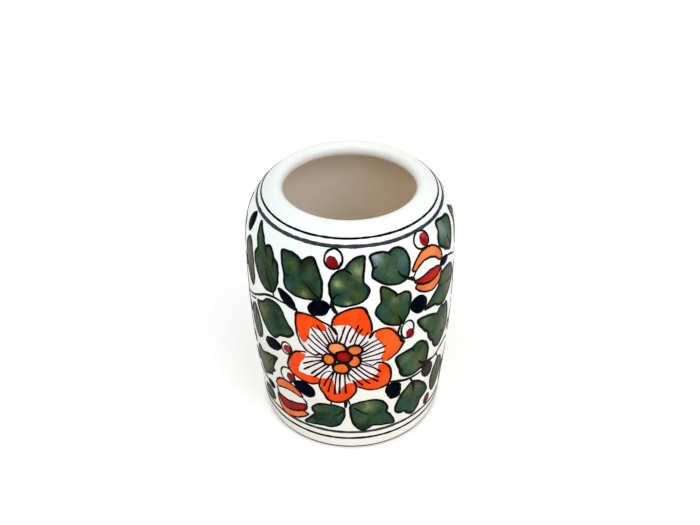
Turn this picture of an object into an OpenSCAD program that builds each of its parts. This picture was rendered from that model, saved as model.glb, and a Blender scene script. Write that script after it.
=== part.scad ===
// Painted ceramic toothbrush holder, in millimetres.
// The jar stands on the origin with its axis along +Z, and the big flower faces -Y.

/* [Jar] */
// Height of the jar from the table to the top of the lip
jar_h = 115; // [95:1:140]
// Diameter of the jar at its widest
jar_d = 88; // [78:1:110]
// Depth of the widest place below the top of the lip
belly_drop = 45; // [40:1:52]
// Radius of the long curve down the wall
wall_curve = 545; // [400:5:900]
// Radius of the shoulder between the wall and the lip
shoulder_curve = 29; // [25:1:34]
// Thickness of the fired wall
wall_t = 4.2; // [3:0.2:5]
// Thickness of the floor above the table
floor_t = 6; // [4:0.5:9]
// Radius of the curve between the wall and the floor inside
floor_fillet = 7; // [3:1:12]

/* [Lip] */
// Diameter of the mouth at its narrowest
mouth_d = 54.4; // [48:0.4:60]
// Thickness of the rolled lip
lip_t = 6.4; // [5:0.2:7.6]

/* [Foot] */
// Width of the ring that the jar stands on
foot_ring_w = 5; // [3:0.5:9]
// Depth of the recess inside that ring
foot_recess = 1.8; // [0.8:0.2:2.8]
// Rounding of the outer edge of the foot
foot_round = 1.2; // [0.4:0.2:2.4]

/* [Painted lines] */
// Thickness of the fired enamel
paint_t = 0.25; // [0.15:0.05:0.4]
// Depth of the middle of the thick line below the top of the lip
rim_line_drop = 6.3; // [5.4:0.1:9]
// Width of the thick line under the lip, up the jar
rim_line_w = 1.3; // [0.8:0.1:2]
// Bare glaze between the two lines under the lip, up the jar
rim_line_gap = 1.5; // [0.8:0.1:2]
// Width of the thin line under the lip, up the jar
rim_thin_w = 0.8; // [0.3:0.1:1]
// Height of the middle of the upper line above the foot
foot_line_z = 11.2; // [9:0.1:14]
// Width of the upper line above the foot
foot_line_w = 1.3; // [0.5:0.1:1.8]
// Bare glaze between the two lines above the foot
foot_line_gap = 3; // [1.5:0.1:4]
// Width of the lower line above the foot
foot_low_w = 1.1; // [0.5:0.1:1.5]

/* [Painted pattern] */
// How many times the pattern goes round the jar
repeats = 2; // [1:1:2]
// Bare glaze between the pattern and the lines above and below it
field_gap = 0.3; // [0.2:0.1:1]
// Width of the vines and stems
stem_w = 1.1; // [0.6:0.1:1.6]
// Width of the rays round the eye of the flower, halfway along
ray_w = 0.6; // [0.3:0.05:0.8]
// Width of the rings round the buds
ring_w = 0.8; // [0.5:0.1:1.2]
// Diameter of the red eye of the flower
eye_d = 6; // [4:0.2:7]
// Bare glaze between the eye and the anthers round it
eye_gap = 0.6; // [0.3:0.1:1]

/* [Hidden] */

// How far cuts run past the faces that they open
overrun = 1;
// Height of the painted field as a share of half the way round the jar at its widest
field_shape = 0.69;
// Facets of the preview on the wall's long arc, on small arcs and round the jar
wall_facets = 720;
arc_facets = 96;
round_facets = 120;
// Corners of a painted disc
disc_corners = 12;
// Parts that a bowed edge is drawn in, for each unit of its bow share, and at least
bow_steps = 13;
least_bow_steps = 2;

// Colours of the glaze and the enamels
glaze_white = [0.95, 0.96, 0.93];
line_black = [0.12, 0.14, 0.15];
leaf_green = [0.24, 0.36, 0.27];
berry_navy = [0.03, 0.04, 0.1];
petal_orange = [1, 0.32, 0.07];
anther_orange = [1, 0.52, 0.24];
tulip_orange = [0.98, 0.5, 0.24];
throat_red = [0.72, 0.07, 0.06];
eye_red = [0.62, 0.02, 0.03];
bud_crimson = [0.73, 0.08, 0.2];

// Heights above the table
belly_z = jar_h - belly_drop;
rim_line_z = jar_h - rim_line_drop;

// The wall's arc, the shoulder's arc and the round of the lip touch without a corner.
// Each centre is worked out from the arcs next to it.
wall_x = jar_d / 2 - wall_curve;
lip_r = lip_t / 2;
lip_x = mouth_d / 2 + lip_r;
lip_z = jar_h - lip_r;
wall_reach = wall_curve - shoulder_curve;
lip_reach = shoulder_curve - lip_r;
centres_apart = norm([lip_x - wall_x, lip_z - belly_z]);
along = (pow(wall_reach, 2) - pow(lip_reach, 2) + pow(centres_apart, 2)) / (2 * centres_apart);
aside = sqrt(pow(wall_reach, 2) - pow(along, 2));
toward = [lip_x - wall_x, lip_z - belly_z] / centres_apart;
shoulder = [wall_x, belly_z] + toward * along + [toward[1], -toward[0]] * aside;
// Heights where the wall becomes the shoulder, and the shoulder the lip
shoulder_tilt = atan2(shoulder[1] - belly_z, shoulder[0] - wall_x);
lip_tilt = atan2(lip_z - shoulder[1], lip_x - shoulder[0]);
shoulder_z = shoulder[1] + shoulder_curve * sin(shoulder_tilt);
lip_start_z = lip_z + lip_r * sin(lip_tilt);
// The same heights on the inner face
shoulder_inner_z = shoulder[1] + (shoulder_curve - wall_t) * sin(shoulder_tilt);
cavity_top_z = lip_z - lip_r / 2;

// Place of an arc's edge beside its centre, at a height above the table
function arc_x(centre_x, centre_z, radius, z) =
    centre_x + sqrt(pow(radius, 2) - pow(z - centre_z, 2));
// Outer radius of the jar at a height, up to the lip
function jar_r(z) =
    z < shoulder_z
    ? arc_x(wall_x, belly_z, wall_curve, z)
    : arc_x(shoulder[0], shoulder[1], shoulder_curve, z);

// Rows of the painted field: from the foot line to the rim line
field_bottom = foot_line_z + foot_line_w / 2 + field_gap;
field_top = rim_line_z - rim_line_w / 2 - field_gap;
field_h = field_top - field_bottom;
// The pattern's width round the jar, in degrees
pattern_turn = 180;
// Shares below are hundredths
whole_share = 100;
// A hundredth of the field, across or up, whichever is tighter
spot_unit = min(field_h, field_shape * PI * jar_d / 2) / whole_share;
// A radial cut starts at this radius and runs out past the belly
prism_start = jar_d / 4;
prism_h = jar_d / 2;

// Outlines are rows of [turn share, height share, bow share].
// A turn share is hundredths of the pattern's width, with 0 in the middle of the front.
// A height share is hundredths of the painted field, up from the foot line.
// A bow share says how far the edge to the next row bows out, as a share of its length.

// The six petals round the flower's eye, from the top one clockwise
petal_shares = [
    [[6.1, 63.7, 0.02], [4.9, 70, 0.06], [2.9, 74.3, 0.06], [-0.3, 73.8, 0.06],
     [-3.8, 70.6, 0.06], [-5, 67.5, 0.04], [-5.4, 64.6, 0], [-2.8, 65.6, 0], [-0.3, 65.8, 0],
     [1.5, 61.8, -0.03], [3.2, 59.4, 0], [4.9, 59.9, 0], [6, 61, 0]],
    [[10.1, 43.2, 0.06], [14.1, 47, 0.06], [16, 51.5, 0], [15.2, 52.1, 0.06], [13, 59, 0.06],
     [10.6, 61.6, 0.06], [8, 61.4, 0.05], [6.7, 59.5, 0], [8.4, 54.7, 0], [9.8, 52.1, 0],
     [9.6, 48.5, 0], [8.7, 46, 0], [9.1, 43.2, 0]],
    [[7.8, 41.6, 0], [8.2, 38, 0], [7.1, 35.3, 0], [4.8, 34.4, 0], [2.1, 34.2, 0],
     [1.6, 33.1, 0.05], [2.1, 30.4, 0.05], [3.6, 28.3, 0.06], [7.2, 27.2, 0.08],
     [11.4, 28.7, 0.06], [12, 34.7, 0.06], [11, 40.2, 0.05], [9.3, 42.1, 0]],
    [[-9.8, 33.4, 0.03], [-9.5, 28.4, 0.05], [-7, 20, 0.04], [-4.2, 19.9, 0.05],
     [-0.6, 22.3, 0.06], [1.2, 28.7, 0.04], [0.7, 32.1, 0], [-0.5, 32.4, 0], [-2.4, 31.1, 0],
     [-3.2, 28.6, 0], [-4, 25.3, 0], [-5, 26.3, 0], [-5.5, 32.1, 0], [-6, 34.9, 0]],
    [[-17.4, 44.9, 0.03], [-19.4, 40.8, 0.05], [-20.4, 35.8, 0.06], [-20, 31.5, 0.06],
     [-17.2, 29.3, 0.04], [-13.2, 28.9, 0.04], [-10.6, 30.1, 0], [-10.5, 33.4, 0],
     [-11.4, 34, 0], [-14.7, 33.8, 0], [-16.9, 34.2, -0.04], [-16.2, 38.5, -0.03],
     [-14.7, 42.8, 0], [-14.2, 46, 0], [-15.9, 46, 0]],
    [[-16.1, 67.5, 0.03], [-16.5, 64.5, 0.03], [-16.7, 60.9, 0.03], [-15.9, 56.2, 0.03],
     [-14.8, 53, 0.1], [-13.7, 52.9, 0], [-12.8, 56.2, 0], [-12.4, 59.8, 0], [-12.1, 62.7, 0],
     [-10.6, 62.3, 0], [-9.1, 61.5, 0], [-7.3, 61.6, 0.1], [-7.2, 64.1, 0.05], [-8.6, 66, 0.05],
     [-10.4, 67.6, 0.05], [-13.1, 68.2, 0.03]]];

// Widths of a ray at its inner and its outer end, as shares of the rays' width
ray_width_shares = [0.8, 1.2];
// Rays from the eye to the petals: rows of [turn share, height share] at both ends
ray_shares = [
    [[-9.3, 49.3], [-12.9, 51.9]], [[-8.8, 50.8], [-12.7, 54.4]], [[-8.3, 51.9], [-12.2, 56.8]],
    [[-7.8, 53], [-11.8, 60]], [[-7.4, 54.2], [-10.6, 61.3]], [[-6.6, 55.5], [-8.8, 60.6]],
    [[-5.8, 56.2], [-7.1, 61]], [[-4.9, 56.4], [-6.1, 63.8]],
    [[-3.6, 56.4], [-2.2, 64.6]], [[-2.2, 55.7], [-0.3, 63.4]], [[-1, 55], [1, 61.4]],
    [[0.1, 55], [1.7, 60]], [[1.3, 55], [2.8, 58.6]], [[2.3, 54.6], [4.4, 58.8]],
    [[3.1, 53.8], [6.2, 57]], [[3.5, 52.2], [7.6, 55.4]], [[3.7, 50.6], [8.6, 53.2]],
    [[3.7, 49], [9, 50.6]], [[3.7, 47.4], [8.8, 48.3]], [[3.6, 45.6], [8.1, 45.3]],
    [[3.5, 44], [7.2, 42.2]], [[3.1, 42.6], [7.5, 38.6]], [[2.4, 41.6], [6.2, 35.9]],
    [[1.7, 41], [4.4, 35.5]], [[0.9, 40.2], [3.1, 35.3]], [[0.1, 39], [1.4, 34]],
    [[-0.8, 38.3], [-0.1, 33.6]], [[-1.7, 37.6], [-1.9, 32.7]], [[-2.7, 37.4], [-3, 31]],
    [[-3.7, 37.4], [-3.9, 27.2]], [[-4.6, 37.6], [-4.9, 31.4]], [[-5.4, 38.2], [-5.9, 35.7]],
    [[-6.1, 38.7], [-7.6, 35.2]], [[-7, 39.6], [-10, 35.5]], [[-7.7, 40.8], [-12.3, 35.5]],
    [[-8.3, 41.8], [-15, 36]], [[-8.8, 43], [-15, 39.4]], [[-9.1, 44.2], [-14.4, 41.8]],
    [[-9.3, 45.6], [-14, 44.4]]];

// Halves of discs below are in hundredths of the field too, by the tighter of its two ways.

// The eye, and the anthers round it: rows of [turn share, height share, half width, half height]
eye_share = [-2.3, 48];
anther_shares = [
    [-4.2, 52.4, 3.5, 3.1], [1.1, 51.9, 2.8, 2.3], [0.9, 45.5, 2.5, 3.1],
    [-3.1, 41.2, 3.2, 2.7], [-6.7, 45.8, 2.3, 2.7]];

// The leaves of the front, by rows from the lip to the foot, and the edges last
leaf_shares = [
    [[-22.3, 95.3, 0], [-20, 84.7, 0.28], [-17.2, 77, 0.06], [-8.6, 78, 0.12],
     [-11.2, 96.2, 0.12], [-14.6, 93.8, 0.1]],
    [[-4.9, 76.4, 0.1], [0.5, 76.2, 0.16], [5.4, 82.8, 0.12], [3.6, 86.8, -0.03],
     [4.7, 96.4, 0.14], [-1.7, 92.7, 0.2], [-6.1, 85, 0.05]],
    [[5.6, 97.4, 0], [6.8, 92.6, 0.12], [6.3, 89.3, 0.08], [11.2, 84.2, 0.1],
     [16.9, 84.4, 0.06], [18, 93.5, 0.2], [14.3, 98.6, 0.1], [11.9, 97.3, 0.1]],
    [[8.7, 84.2, 0.05], [8.9, 76, 0.2], [7.3, 70, 0.14], [15.1, 61.6, 0.05],
     [17.5, 66.4, 0], [17.9, 71.2, 0.1], [17.6, 77.2, 0.12], [15.6, 78.5, 0.05],
     [13.7, 77.7, 0.08]],
    [[-35.3, 99.6, 0.04], [-32.3, 89.4, 0.12], [-34, 84, 0.1], [-32.6, 77.5, 0.12],
     [-28.6, 71.9, 0.03], [-25, 72.6, 0.08], [-22.7, 85.5, 0.2], [-24.7, 90.2, 0.1],
     [-27, 94.1, 0.1], [-28.8, 92.4, 0.04]],
    [[-34.3, 60.4, 0.03], [-31.8, 53, 0.08], [-27.2, 47.2, 0.1], [-24.8, 48, 0],
     [-23.4, 50.8, 0.12], [-17.6, 55.4, 0.02], [-21.2, 62.4, 0.25], [-25, 67.8, 0.1],
     [-29.6, 64.4, -0.08]],
    [[23.6, 63.2, -0.03], [28.9, 62.2, 0.05], [31.8, 59.4, 0.18], [36.5, 60.6, 0.1],
     [40.5, 66, 0.12], [39.8, 73, 0.14], [31.6, 76.6, 0.1], [30.1, 70.6, 0.04]],
    [[20.8, 60, 0.06], [25.8, 49.4, 0.1], [28.6, 41.4, 0.14], [32.2, 35, 0.14],
     [38.2, 44, 0.08], [36, 56.4, 0.12], [34.2, 56.2, 0.1], [31.2, 57.9, 0.06],
     [30, 55.6, 0.08]],
    [[13.7, 43.6, 0.03], [15.3, 35.2, 0.18], [18.5, 29.2, 0.1], [25.9, 31.4, 0.03],
     [26.5, 37, 0.15], [22.2, 47.1, 0.12], [19.3, 45, 0.08]],
    [[20.4, 24.1, 0.1], [14.8, 12, 0.2], [16.3, 6.3, 0], [18.4, 6.1, 0.05],
     [22.3, 0.6, 0.12], [25.1, 7.6, 0.05], [28.6, 11, 0.1]],
    [[-0.4, 18.1, 0.05], [-0.2, 9, 0.08], [2.4, 1, 0.2], [5, 0.8, 0],
     [6.8, 3, 0], [14.9, 0.6, 0.06], [11.3, 10.4, 0.15], [10.9, 16.3, 0.15],
     [5.6, 20.4, 0.06]],
    [[-2.6, 15.8, 0.1], [-9.5, 17, 0.15], [-13.4, 12, 0.15], [-12.2, 9.4, 0],
     [-16.8, 0.7, 0], [-9.4, 2.4, 0.15], [-4.6, 3.8, 0.12]],
    [[-25.4, 35.2, 0.03], [-34.3, 29.8, 0.08], [-37, 31.4, 0.15], [-38.4, 24, 0.12],
     [-34.8, 15.6, -0.06], [-29.4, 20.6, 0], [-30, 21.8, 0], [-27.6, 25.2, 0],
     [-28.7, 26, -0.04]],
    [[32.7, 99.2, 0.03], [32.4, 95.8, 0.15], [30.9, 91, 0.04], [37.7, 83.4, -0.02],
     [42, 95, 0.2], [38.2, 97.9, 0.06]],
    [[33.3, 26.2, 0.06], [29.8, 16.5, 0.03], [31.2, 8.4, 0.1], [33.4, 5.6, 0.12],
     [37, 14, 0.08], [37, 21, 0.15]],
    [[-35.8, 56.6, 0.12], [-39, 52, 0.1], [-39.4, 44, 0.1], [-36.5, 37.4, 0.12],
     [-32.9, 41.5, 0.06], [-33, 49, 0.05]],
    [[-38.3, 90.2, 0.12], [-41.8, 82, 0.05], [-41.3, 73, 0.1], [-37, 65.8, 0.08],
     [-34.9, 73, -0.02], [-35.5, 82, 0], [-36, 86.6, 0.1]],
    [[-31.5, 8, 0.1], [-35.4, 8, 0.15], [-37.3, 3.4, 0.15], [-34, 0.8, 0],
     [-31.4, 1.6, 0.1]]];

// Leaves of the same shapes between the two fronts: [leaf, turn share, height share] moved by
side_leaf_shares = [[3, 36.3, 13.6], [10, 39.4, 0], [8, 29.3, -2.4], [0, 64.6, -28]];

// Berries and the dark cups of the tulips:
// rows of [turn share, height share, half length, half width, tilt in degrees]
berry_shares = [
    [-9.3, 72.9, 5.3, 3.8, 35], [-19.5, 73.2, 5.8, 2.8, -42], [-27.2, 42.2, 5.6, 3.5, 22],
    [-15.2, 24, 5.4, 3.8, -21], [13.6, 22.2, 5.1, 3.9, 78], [26.8, 24.3, 4.8, 3, -62],
    [21.4, 68.3, 5.2, 4.3, -50], [-40.6, 95.2, 4.4, 3.3, 80], [33.3, 81.6, 3.7, 2.3, -14],
    [-31.6, 12.2, 3.2, 2.5, 10], [-44.4, 72.6, 3.6, 2.7, 70], [-42.2, 48.8, 3.3, 2.3, 80],
    [40.5, 38.6, 3, 2.1, 80], [-42, 31, 4, 2.9, 75]];

// Petals of the two tulips: each has an upper and a lower one
tulip_petal_shares = [
    [[18.4, 87.5, 0], [19.9, 85.7, -0.24], [30.2, 84.9, 0], [31.1, 84.8, 0.06],
     [30.4, 90, 0.06], [27.5, 92.8, 0.05], [23.5, 92.8, 0.06]],
    [[19.9, 78.2, 0], [21.5, 75.1, 0.05], [25.3, 72.2, 0.08], [28.3, 72.1, 0.12],
     [31.2, 78.2, 0], [30.9, 79.1, -0.08], [28.9, 76.8, -0.08], [24.4, 76.4, -0.05],
     [20.4, 79.3, 0]],
    [[-16.3, 17.4, 0.05], [-18.3, 21.2, 0.06], [-21.5, 23.1, 0.05], [-24.9, 22.6, 0.06],
     [-27.2, 20.1, 0.05], [-28.2, 17, 0], [-26.7, 15.8, -0.05], [-23.1, 17.7, -0.05],
     [-20.4, 18.1, -0.03], [-17.5, 16.7, 0]],
    [[-28.4, 9.6, 0.03], [-27.3, 2.7, 0.08], [-24.6, 0.5, 0.05], [-21.1, 0.7, 0.03],
     [-17.1, 3.5, 0.03], [-14.8, 6.9, 0], [-16.5, 8.1, 0], [-20, 5, -0.03], [-24.2, 3.1, -0.05],
     [-26.9, 5.3, -0.05]]];
tulip_throat_shares = [
    [[19.4, 81.5, 0.08], [24.3, 77.3, 0.08], [29.2, 77.7, 0.06], [30.6, 80.4, 0.08],
     [27.2, 83, 0], [23, 81.9, 0]],
    [[-27.8, 10.9, 0.05], [-26.4, 5.9, 0.06], [-24.2, 4.1, 0.04], [-20, 6, 0.02],
     [-16.2, 9.2, 0.05], [-15, 12, 0.1], [-15.9, 13.2, -0.03], [-18.9, 11.6, -0.03],
     [-22.8, 10.4, 0], [-25.7, 10.7, 0]]];

// Buds: rows of [turn share, height share, half width, half height] of the white inside
// the ring, then the same of the heart
bud_white_shares = [
    [-5.1, 95.7, 3.7, 3.3], [24.1, 96.7, 3.5, 2.4], [17.2, 57.2, 3, 4.5], [-20.9, 44.9, 2.5, 3.3],
    [-22.2, 28.5, 3.4, 3.6], [-42, 20.4, 2.4, 2.9], [29.3, 4.6, 1.9, 3.4]];
bud_heart_shares = [
    [-5.2, 95.1, 2.6, 2.4], [25.3, 96.1, 2.4, 2.4], [18.2, 54.5, 2.3, 3], [-20.4, 44.4, 2.3, 2.8],
    [-20.4, 27.4, 2.6, 2.9], [-41.8, 19.2, 2, 2.4], [29.6, 5.5, 1.7, 2.9]];

// Vines and stems: rows of [turn share, height share, share of the stems' width]
stem_shares = [
    [[-19.4, 68.4, 0.9], [-21.6, 69.2, 0.9], [-25.2, 70.1, 1], [-29, 68.2, 1],
     [-32, 65.4, 0.9], [-35.6, 61.9, 0.9], [-38.6, 59.6, 0.8], [-42.3, 57.6, 0.5]],
    [[-34.9, 60.2, 0.7], [-37.6, 58.2, 0.6], [-40.2, 56.4, 0.4]],
    [[-4.2, 72, 1.3], [-4.9, 73.7, 1.5], [-5.2, 75.3, 1.2]],
    [[14.6, 61.2, 1], [14.1, 59.2, 0.8], [14.2, 57.4, 0.5]],
    [[12.7, 29.4, 0.9], [14.8, 28.5, 0.8], [17.4, 27.3, 0.7], [21, 27, 0.7],
     [23.4, 27.6, 0.8]],
    [[27, 30.8, 1], [29, 30.2, 0.8], [31.4, 30.3, 0.8], [34.2, 31.8, 0.8],
     [37.4, 32.4, 0.7], [41, 31, 0.5]],
    [[19.5, 26.4, 0.8], [20.3, 24.6, 0.9]],
    [[31.8, 29.6, 0.8], [32.7, 28, 0.7], [33.2, 26.6, 0.6]],
    [[36.4, 81.6, 0.9], [38.4, 80.2, 0.8], [41, 77.8, 0.7], [44.2, 75, 0.5]],
    [[17.2, 84.1, 1.1], [18.3, 83.4, 1.4], [19.2, 82.2, 0.8]],
    [[-2.1, 20.4, 1.2], [-2, 19.2, 1.4], [-2, 17, 1]],
    [[-1.3, 21.4, 0.5], [-0.9, 19.8, 0.7], [-0.6, 18.5, 0.6]],
    [[-6.6, 19, 0.7], [-6.8, 17.9, 0.6]],
    [[-24.9, 72.3, 0.8], [-24.7, 71, 0.8]],
    [[-34.2, 12.8, 0.9], [-37.6, 13.8, 0.7], [-41.4, 13.8, 0.5]],
    [[47.2, 73, 0.7], [50.4, 74.6, 0.8], [53.2, 73.4, 0.6]],
    [[44.4, 46.6, 0.5], [48.4, 46.4, 0.8], [52.4, 46.8, 0.8], [55, 45.8, 0.6]]];

// Places on the jar
function turn_at(turn_share) = turn_share / whole_share * pattern_turn;
function height_at(height_share) = field_bottom + height_share / whole_share * field_h;
// A point of the pattern as seen square on from the direction of middle_turn
function flat_point(row, middle_turn) =
    let (z = height_at(row[1])) [jar_r(z) * sin(turn_at(row[0]) - middle_turn), z];
function middle_of(rows) = (min([for (row = rows) row[0]]) + max([for (row = rows) row[0]])) / 2;
// Points along an edge that bows to its right, up to but without its end
function bow(start, finish, bow_share, steps) =
    [for (i = [0:steps - 1])
        let (t = i / steps, run = finish - start)
        start + run * t + [run[1], -run[0]] * bow_share * 4 * t * (1 - t)];
function steps_for(bow_share) =
    bow_share == 0 ? 1 : max(least_bow_steps, ceil(abs(bow_share) * bow_steps));
function outline_points(rows, middle_turn) =
    [for (i = [0:len(rows) - 1])
        let (next = rows[(i + 1) % len(rows)])
        each bow(flat_point(rows[i], middle_turn), flat_point(next, middle_turn),
                 rows[i][2], steps_for(rows[i][2]))];
// A line along the rows, as wide at each row as its third value says
function side_of(points, i) =
    let (run = points[min(i + 1, len(points) - 1)] - points[max(i - 1, 0)])
    [run[1], -run[0]] / norm(run);
function line_points(points, widths) =
    concat([for (i = [0:len(points) - 1]) points[i] + side_of(points, i) * widths[i] / 2],
           [for (i = [len(points) - 1:-1:0]) points[i] - side_of(points, i) * widths[i] / 2]);
function disc_points(half_w, half_h, tilt, corners) =
    [for (i = [0:corners - 1])
        let (a = 360 * i / corners, x = half_w * cos(a), y = half_h * sin(a))
        [x * cos(tilt) - y * sin(tilt), x * sin(tilt) + y * cos(tilt)]];
function moved(rows, by_turn, by_height) =
    [for (row = rows) [row[0] + by_turn, row[1] + by_height, row[2]]];

// Everything between the axis and an arc, from one height to another
module band(from_z, to_z, centre_x, centre_z, radius, facets) {
    band_h = to_z - from_z;
    intersection() {
        translate([0, from_z]) square([jar_d, band_h]);
        translate([centre_x, centre_z]) circle(radius, $fn = facets);
    }
    if (centre_x > 0) translate([0, from_z]) square([centre_x, band_h]);
}

// Half section of the outside, grown by coat, from the foot's rounding to the lip's round
module outside(from_z, to_z, coat) {
    band(from_z, shoulder_z, wall_x, belly_z, wall_curve + coat, wall_facets);
    band(shoulder_z, to_z, shoulder[0], shoulder[1], shoulder_curve + coat, arc_facets);
}

// Half section of the solid jar, before it is hollowed
module solid_section() {
    foot_x = arc_x(wall_x, belly_z, wall_curve - foot_round, foot_round);
    band(0, foot_round, foot_x, foot_round, foot_round, arc_facets);
    outside(foot_round, lip_start_z, 0);
    band(lip_start_z, jar_h, lip_x, lip_z, lip_r, arc_facets);
}

// Half section of the hollow, with the lip's round left standing in the mouth
module hollow_section() {
    inner_wall = wall_curve - wall_t;
    inner_shoulder = shoulder_curve - wall_t;
    corner_z = floor_t + floor_fillet;
    corner_x = arc_x(wall_x, belly_z, inner_wall - floor_fillet, corner_z);
    difference() {
        union() {
            band(floor_t, corner_z, corner_x, corner_z, floor_fillet, arc_facets);
            band(corner_z, shoulder_inner_z, wall_x, belly_z, inner_wall, wall_facets);
            band(shoulder_inner_z, cavity_top_z, shoulder[0], shoulder[1], inner_shoulder,
                 arc_facets);
            translate([0, cavity_top_z]) square([lip_x, jar_h + overrun - cavity_top_z]);
        }
        translate([lip_x, lip_z]) circle(lip_r, $fn = arc_facets);
    }
}

// The fired clay jar under its white glaze, with its rolled lip and its foot ring
module jar_body() {
    ring_inner_x = arc_x(wall_x, belly_z, wall_curve, 0) - foot_ring_w;
    color(glaze_white)
    rotate_extrude($fn = round_facets)
    difference() {
        solid_section();
        hollow_section();
        translate([0, -overrun]) square([ring_inner_x, foot_recess + overrun]);
    }
}

// A coat of enamel on the outside of the jar between two heights
module coat(from_z, to_z) {
    rotate_extrude($fn = round_facets)
    intersection() {
        difference() {
            outside(0, jar_h - lip_r, paint_t);
            outside(-overrun, jar_h, 0);
        }
        translate([0, from_z]) square([jar_d, to_z - from_z]);
    }
}

// A painted ring round the jar, as wide up the jar as line_w says
module ring_line(middle_z, line_w) {
    coat(middle_z - line_w / 2, middle_z + line_w / 2);
}

// A radial bar with the given end, whose middle faces middle_turn round from the front
module radial_bar(points, middle_turn) {
    rotate([0, 0, middle_turn])
    rotate([90, 0, 0])
    translate([0, 0, prism_start])
    linear_extrude(prism_h) polygon(points);
}

module outline_bar(rows) {
    middle_turn = turn_at(middle_of(rows));
    radial_bar(outline_points(rows, middle_turn), middle_turn);
}

module stroke_bar(rows, line_w) {
    middle_turn = turn_at(middle_of(rows));
    radial_bar(line_points([for (row = rows) flat_point(row, middle_turn)],
                           [for (row = rows) row[2] * line_w]), middle_turn);
}

// A disc at a place of the pattern
module disc_bar(place, half_w, half_h, tilt) {
    middle = height_at(place[1]);
    radial_bar([for (p = disc_points(half_w, half_h, tilt, disc_corners)) p + [0, middle]],
               turn_at(place[0]));
}

// A disc of a table with its halves in hundredths of the field, grown all round by more
module spot_bar(row, tilt, more) {
    disc_bar(row, row[2] * spot_unit + more, row[3] * spot_unit + more, tilt);
}

// Whatever it is given, painted on the jar once for each repeat of the pattern
module painted() {
    intersection() {
        coat(field_bottom, field_top);
        for (k = [0:repeats - 1]) rotate([0, 0, k * pattern_turn]) children();
    }
}

// The thick and the thin line under the lip
module rim_lines() {
    color(line_black) {
        ring_line(rim_line_z, rim_line_w);
        ring_line(rim_line_z + rim_line_w / 2 + rim_line_gap + rim_thin_w / 2, rim_thin_w);
    }
}

// The two lines above the foot, the upper one first
module foot_lines() {
    color(line_black) {
        ring_line(foot_line_z, foot_line_w);
        ring_line(foot_line_z - foot_line_w / 2 - foot_line_gap - foot_low_w / 2, foot_low_w);
    }
}

// Lobed leaves all over the field
module leaves() {
    color(leaf_green)
    painted() {
        for (rows = leaf_shares) outline_bar(rows);
        for (move = side_leaf_shares) outline_bar(moved(leaf_shares[move[0]], move[1], move[2]));
    }
}

// Dark vines between the leaves, and the stems of leaves and flowers
module vine_stems() {
    color(line_black)
    painted() for (rows = stem_shares) stroke_bar(rows, stem_w);
}

// Navy berries, and the cups under the tulips
module berries() {
    color(berry_navy)
    painted() for (row = berry_shares) spot_bar(row, row[4], 0);
}

// The orange of the six petals of the big flower
module flower_petals() {
    color(petal_orange)
    painted() for (rows = petal_shares) outline_bar(rows);
}

// Fine rays from the anthers to the orange of the petals
module flower_rays() {
    color(line_black)
    painted() for (ends = ray_shares)
        stroke_bar([for (i = [0, 1]) [ends[i][0], ends[i][1], ray_width_shares[i]]], ray_w);
}

// The eye as a bar, grown all round by more
module eye_bar(more) {
    half = eye_d / 2 + more;
    disc_bar(eye_share, half, half, 0);
}

// Five pale orange anthers, cut back round the eye
module flower_anthers() {
    color(anther_orange)
    painted()
        difference() {
            for (row = anther_shares) spot_bar(row, 0, 0);
            eye_bar(eye_gap);
        }
}

// The red eye of the big flower
module flower_eyes() {
    color(eye_red)
    painted() eye_bar(0);
}

// The upper and lower petals of the side tulips
module tulip_petals() {
    color(tulip_orange)
    painted() for (rows = tulip_petal_shares) outline_bar(rows);
}

// The red inside the side tulips
module tulip_throats() {
    color(throat_red)
    painted() for (rows = tulip_throat_shares) outline_bar(rows);
}

// Dark rings round the white buds
module bud_rings() {
    color(line_black)
    painted() for (row = bud_white_shares)
        difference() {
            spot_bar(row, 0, ring_w);
            spot_bar(row, 0, 0);
        }
}

// The crimson heart inside each bud, cut where it meets the ring
module bud_hearts() {
    color(bud_crimson)
    painted() for (i = [0:len(bud_heart_shares) - 1])
        intersection() {
            spot_bar(bud_heart_shares[i], 0, 0);
            spot_bar(bud_white_shares[i], 0, 0);
        }
}

jar_body();
rim_lines();
foot_lines();
leaves();
vine_stems();
berries();
flower_petals();
flower_rays();
flower_anthers();
flower_eyes();
tulip_petals();
tulip_throats();
bud_rings();
bud_hearts();
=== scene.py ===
"""A painted ceramic toothbrush holder: the jar under its glaze, and the enamel fired onto it.

Sizes are in millimetres and turned into metres where a mesh is made. Places of the pattern are
shares, as in the part's source: a turn share u is hundredths of half a turn round the jar, with 0
in the middle of the front, and a height share v is hundredths of the painted field.
"""

import math

import bpy
import numpy as np
from mathutils import Matrix, Vector, noise
from mathutils.geometry import delaunay_2d_cdt

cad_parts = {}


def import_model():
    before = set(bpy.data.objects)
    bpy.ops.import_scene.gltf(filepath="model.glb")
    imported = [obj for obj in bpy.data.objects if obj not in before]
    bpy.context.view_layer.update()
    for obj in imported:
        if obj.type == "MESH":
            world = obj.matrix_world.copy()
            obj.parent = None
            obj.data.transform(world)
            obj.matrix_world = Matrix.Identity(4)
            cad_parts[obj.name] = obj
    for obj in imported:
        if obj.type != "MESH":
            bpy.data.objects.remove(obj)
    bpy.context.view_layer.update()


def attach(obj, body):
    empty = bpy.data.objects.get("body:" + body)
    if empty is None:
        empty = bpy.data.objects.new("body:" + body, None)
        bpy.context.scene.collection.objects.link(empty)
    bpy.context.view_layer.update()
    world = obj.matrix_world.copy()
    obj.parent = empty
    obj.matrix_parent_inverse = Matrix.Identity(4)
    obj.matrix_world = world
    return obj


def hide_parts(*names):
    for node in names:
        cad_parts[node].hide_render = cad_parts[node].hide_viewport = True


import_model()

NOISE_SEED = 1           # without it Blender's vector noise is another one in each run
noise.seed_set(NOISE_SEED)

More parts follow.
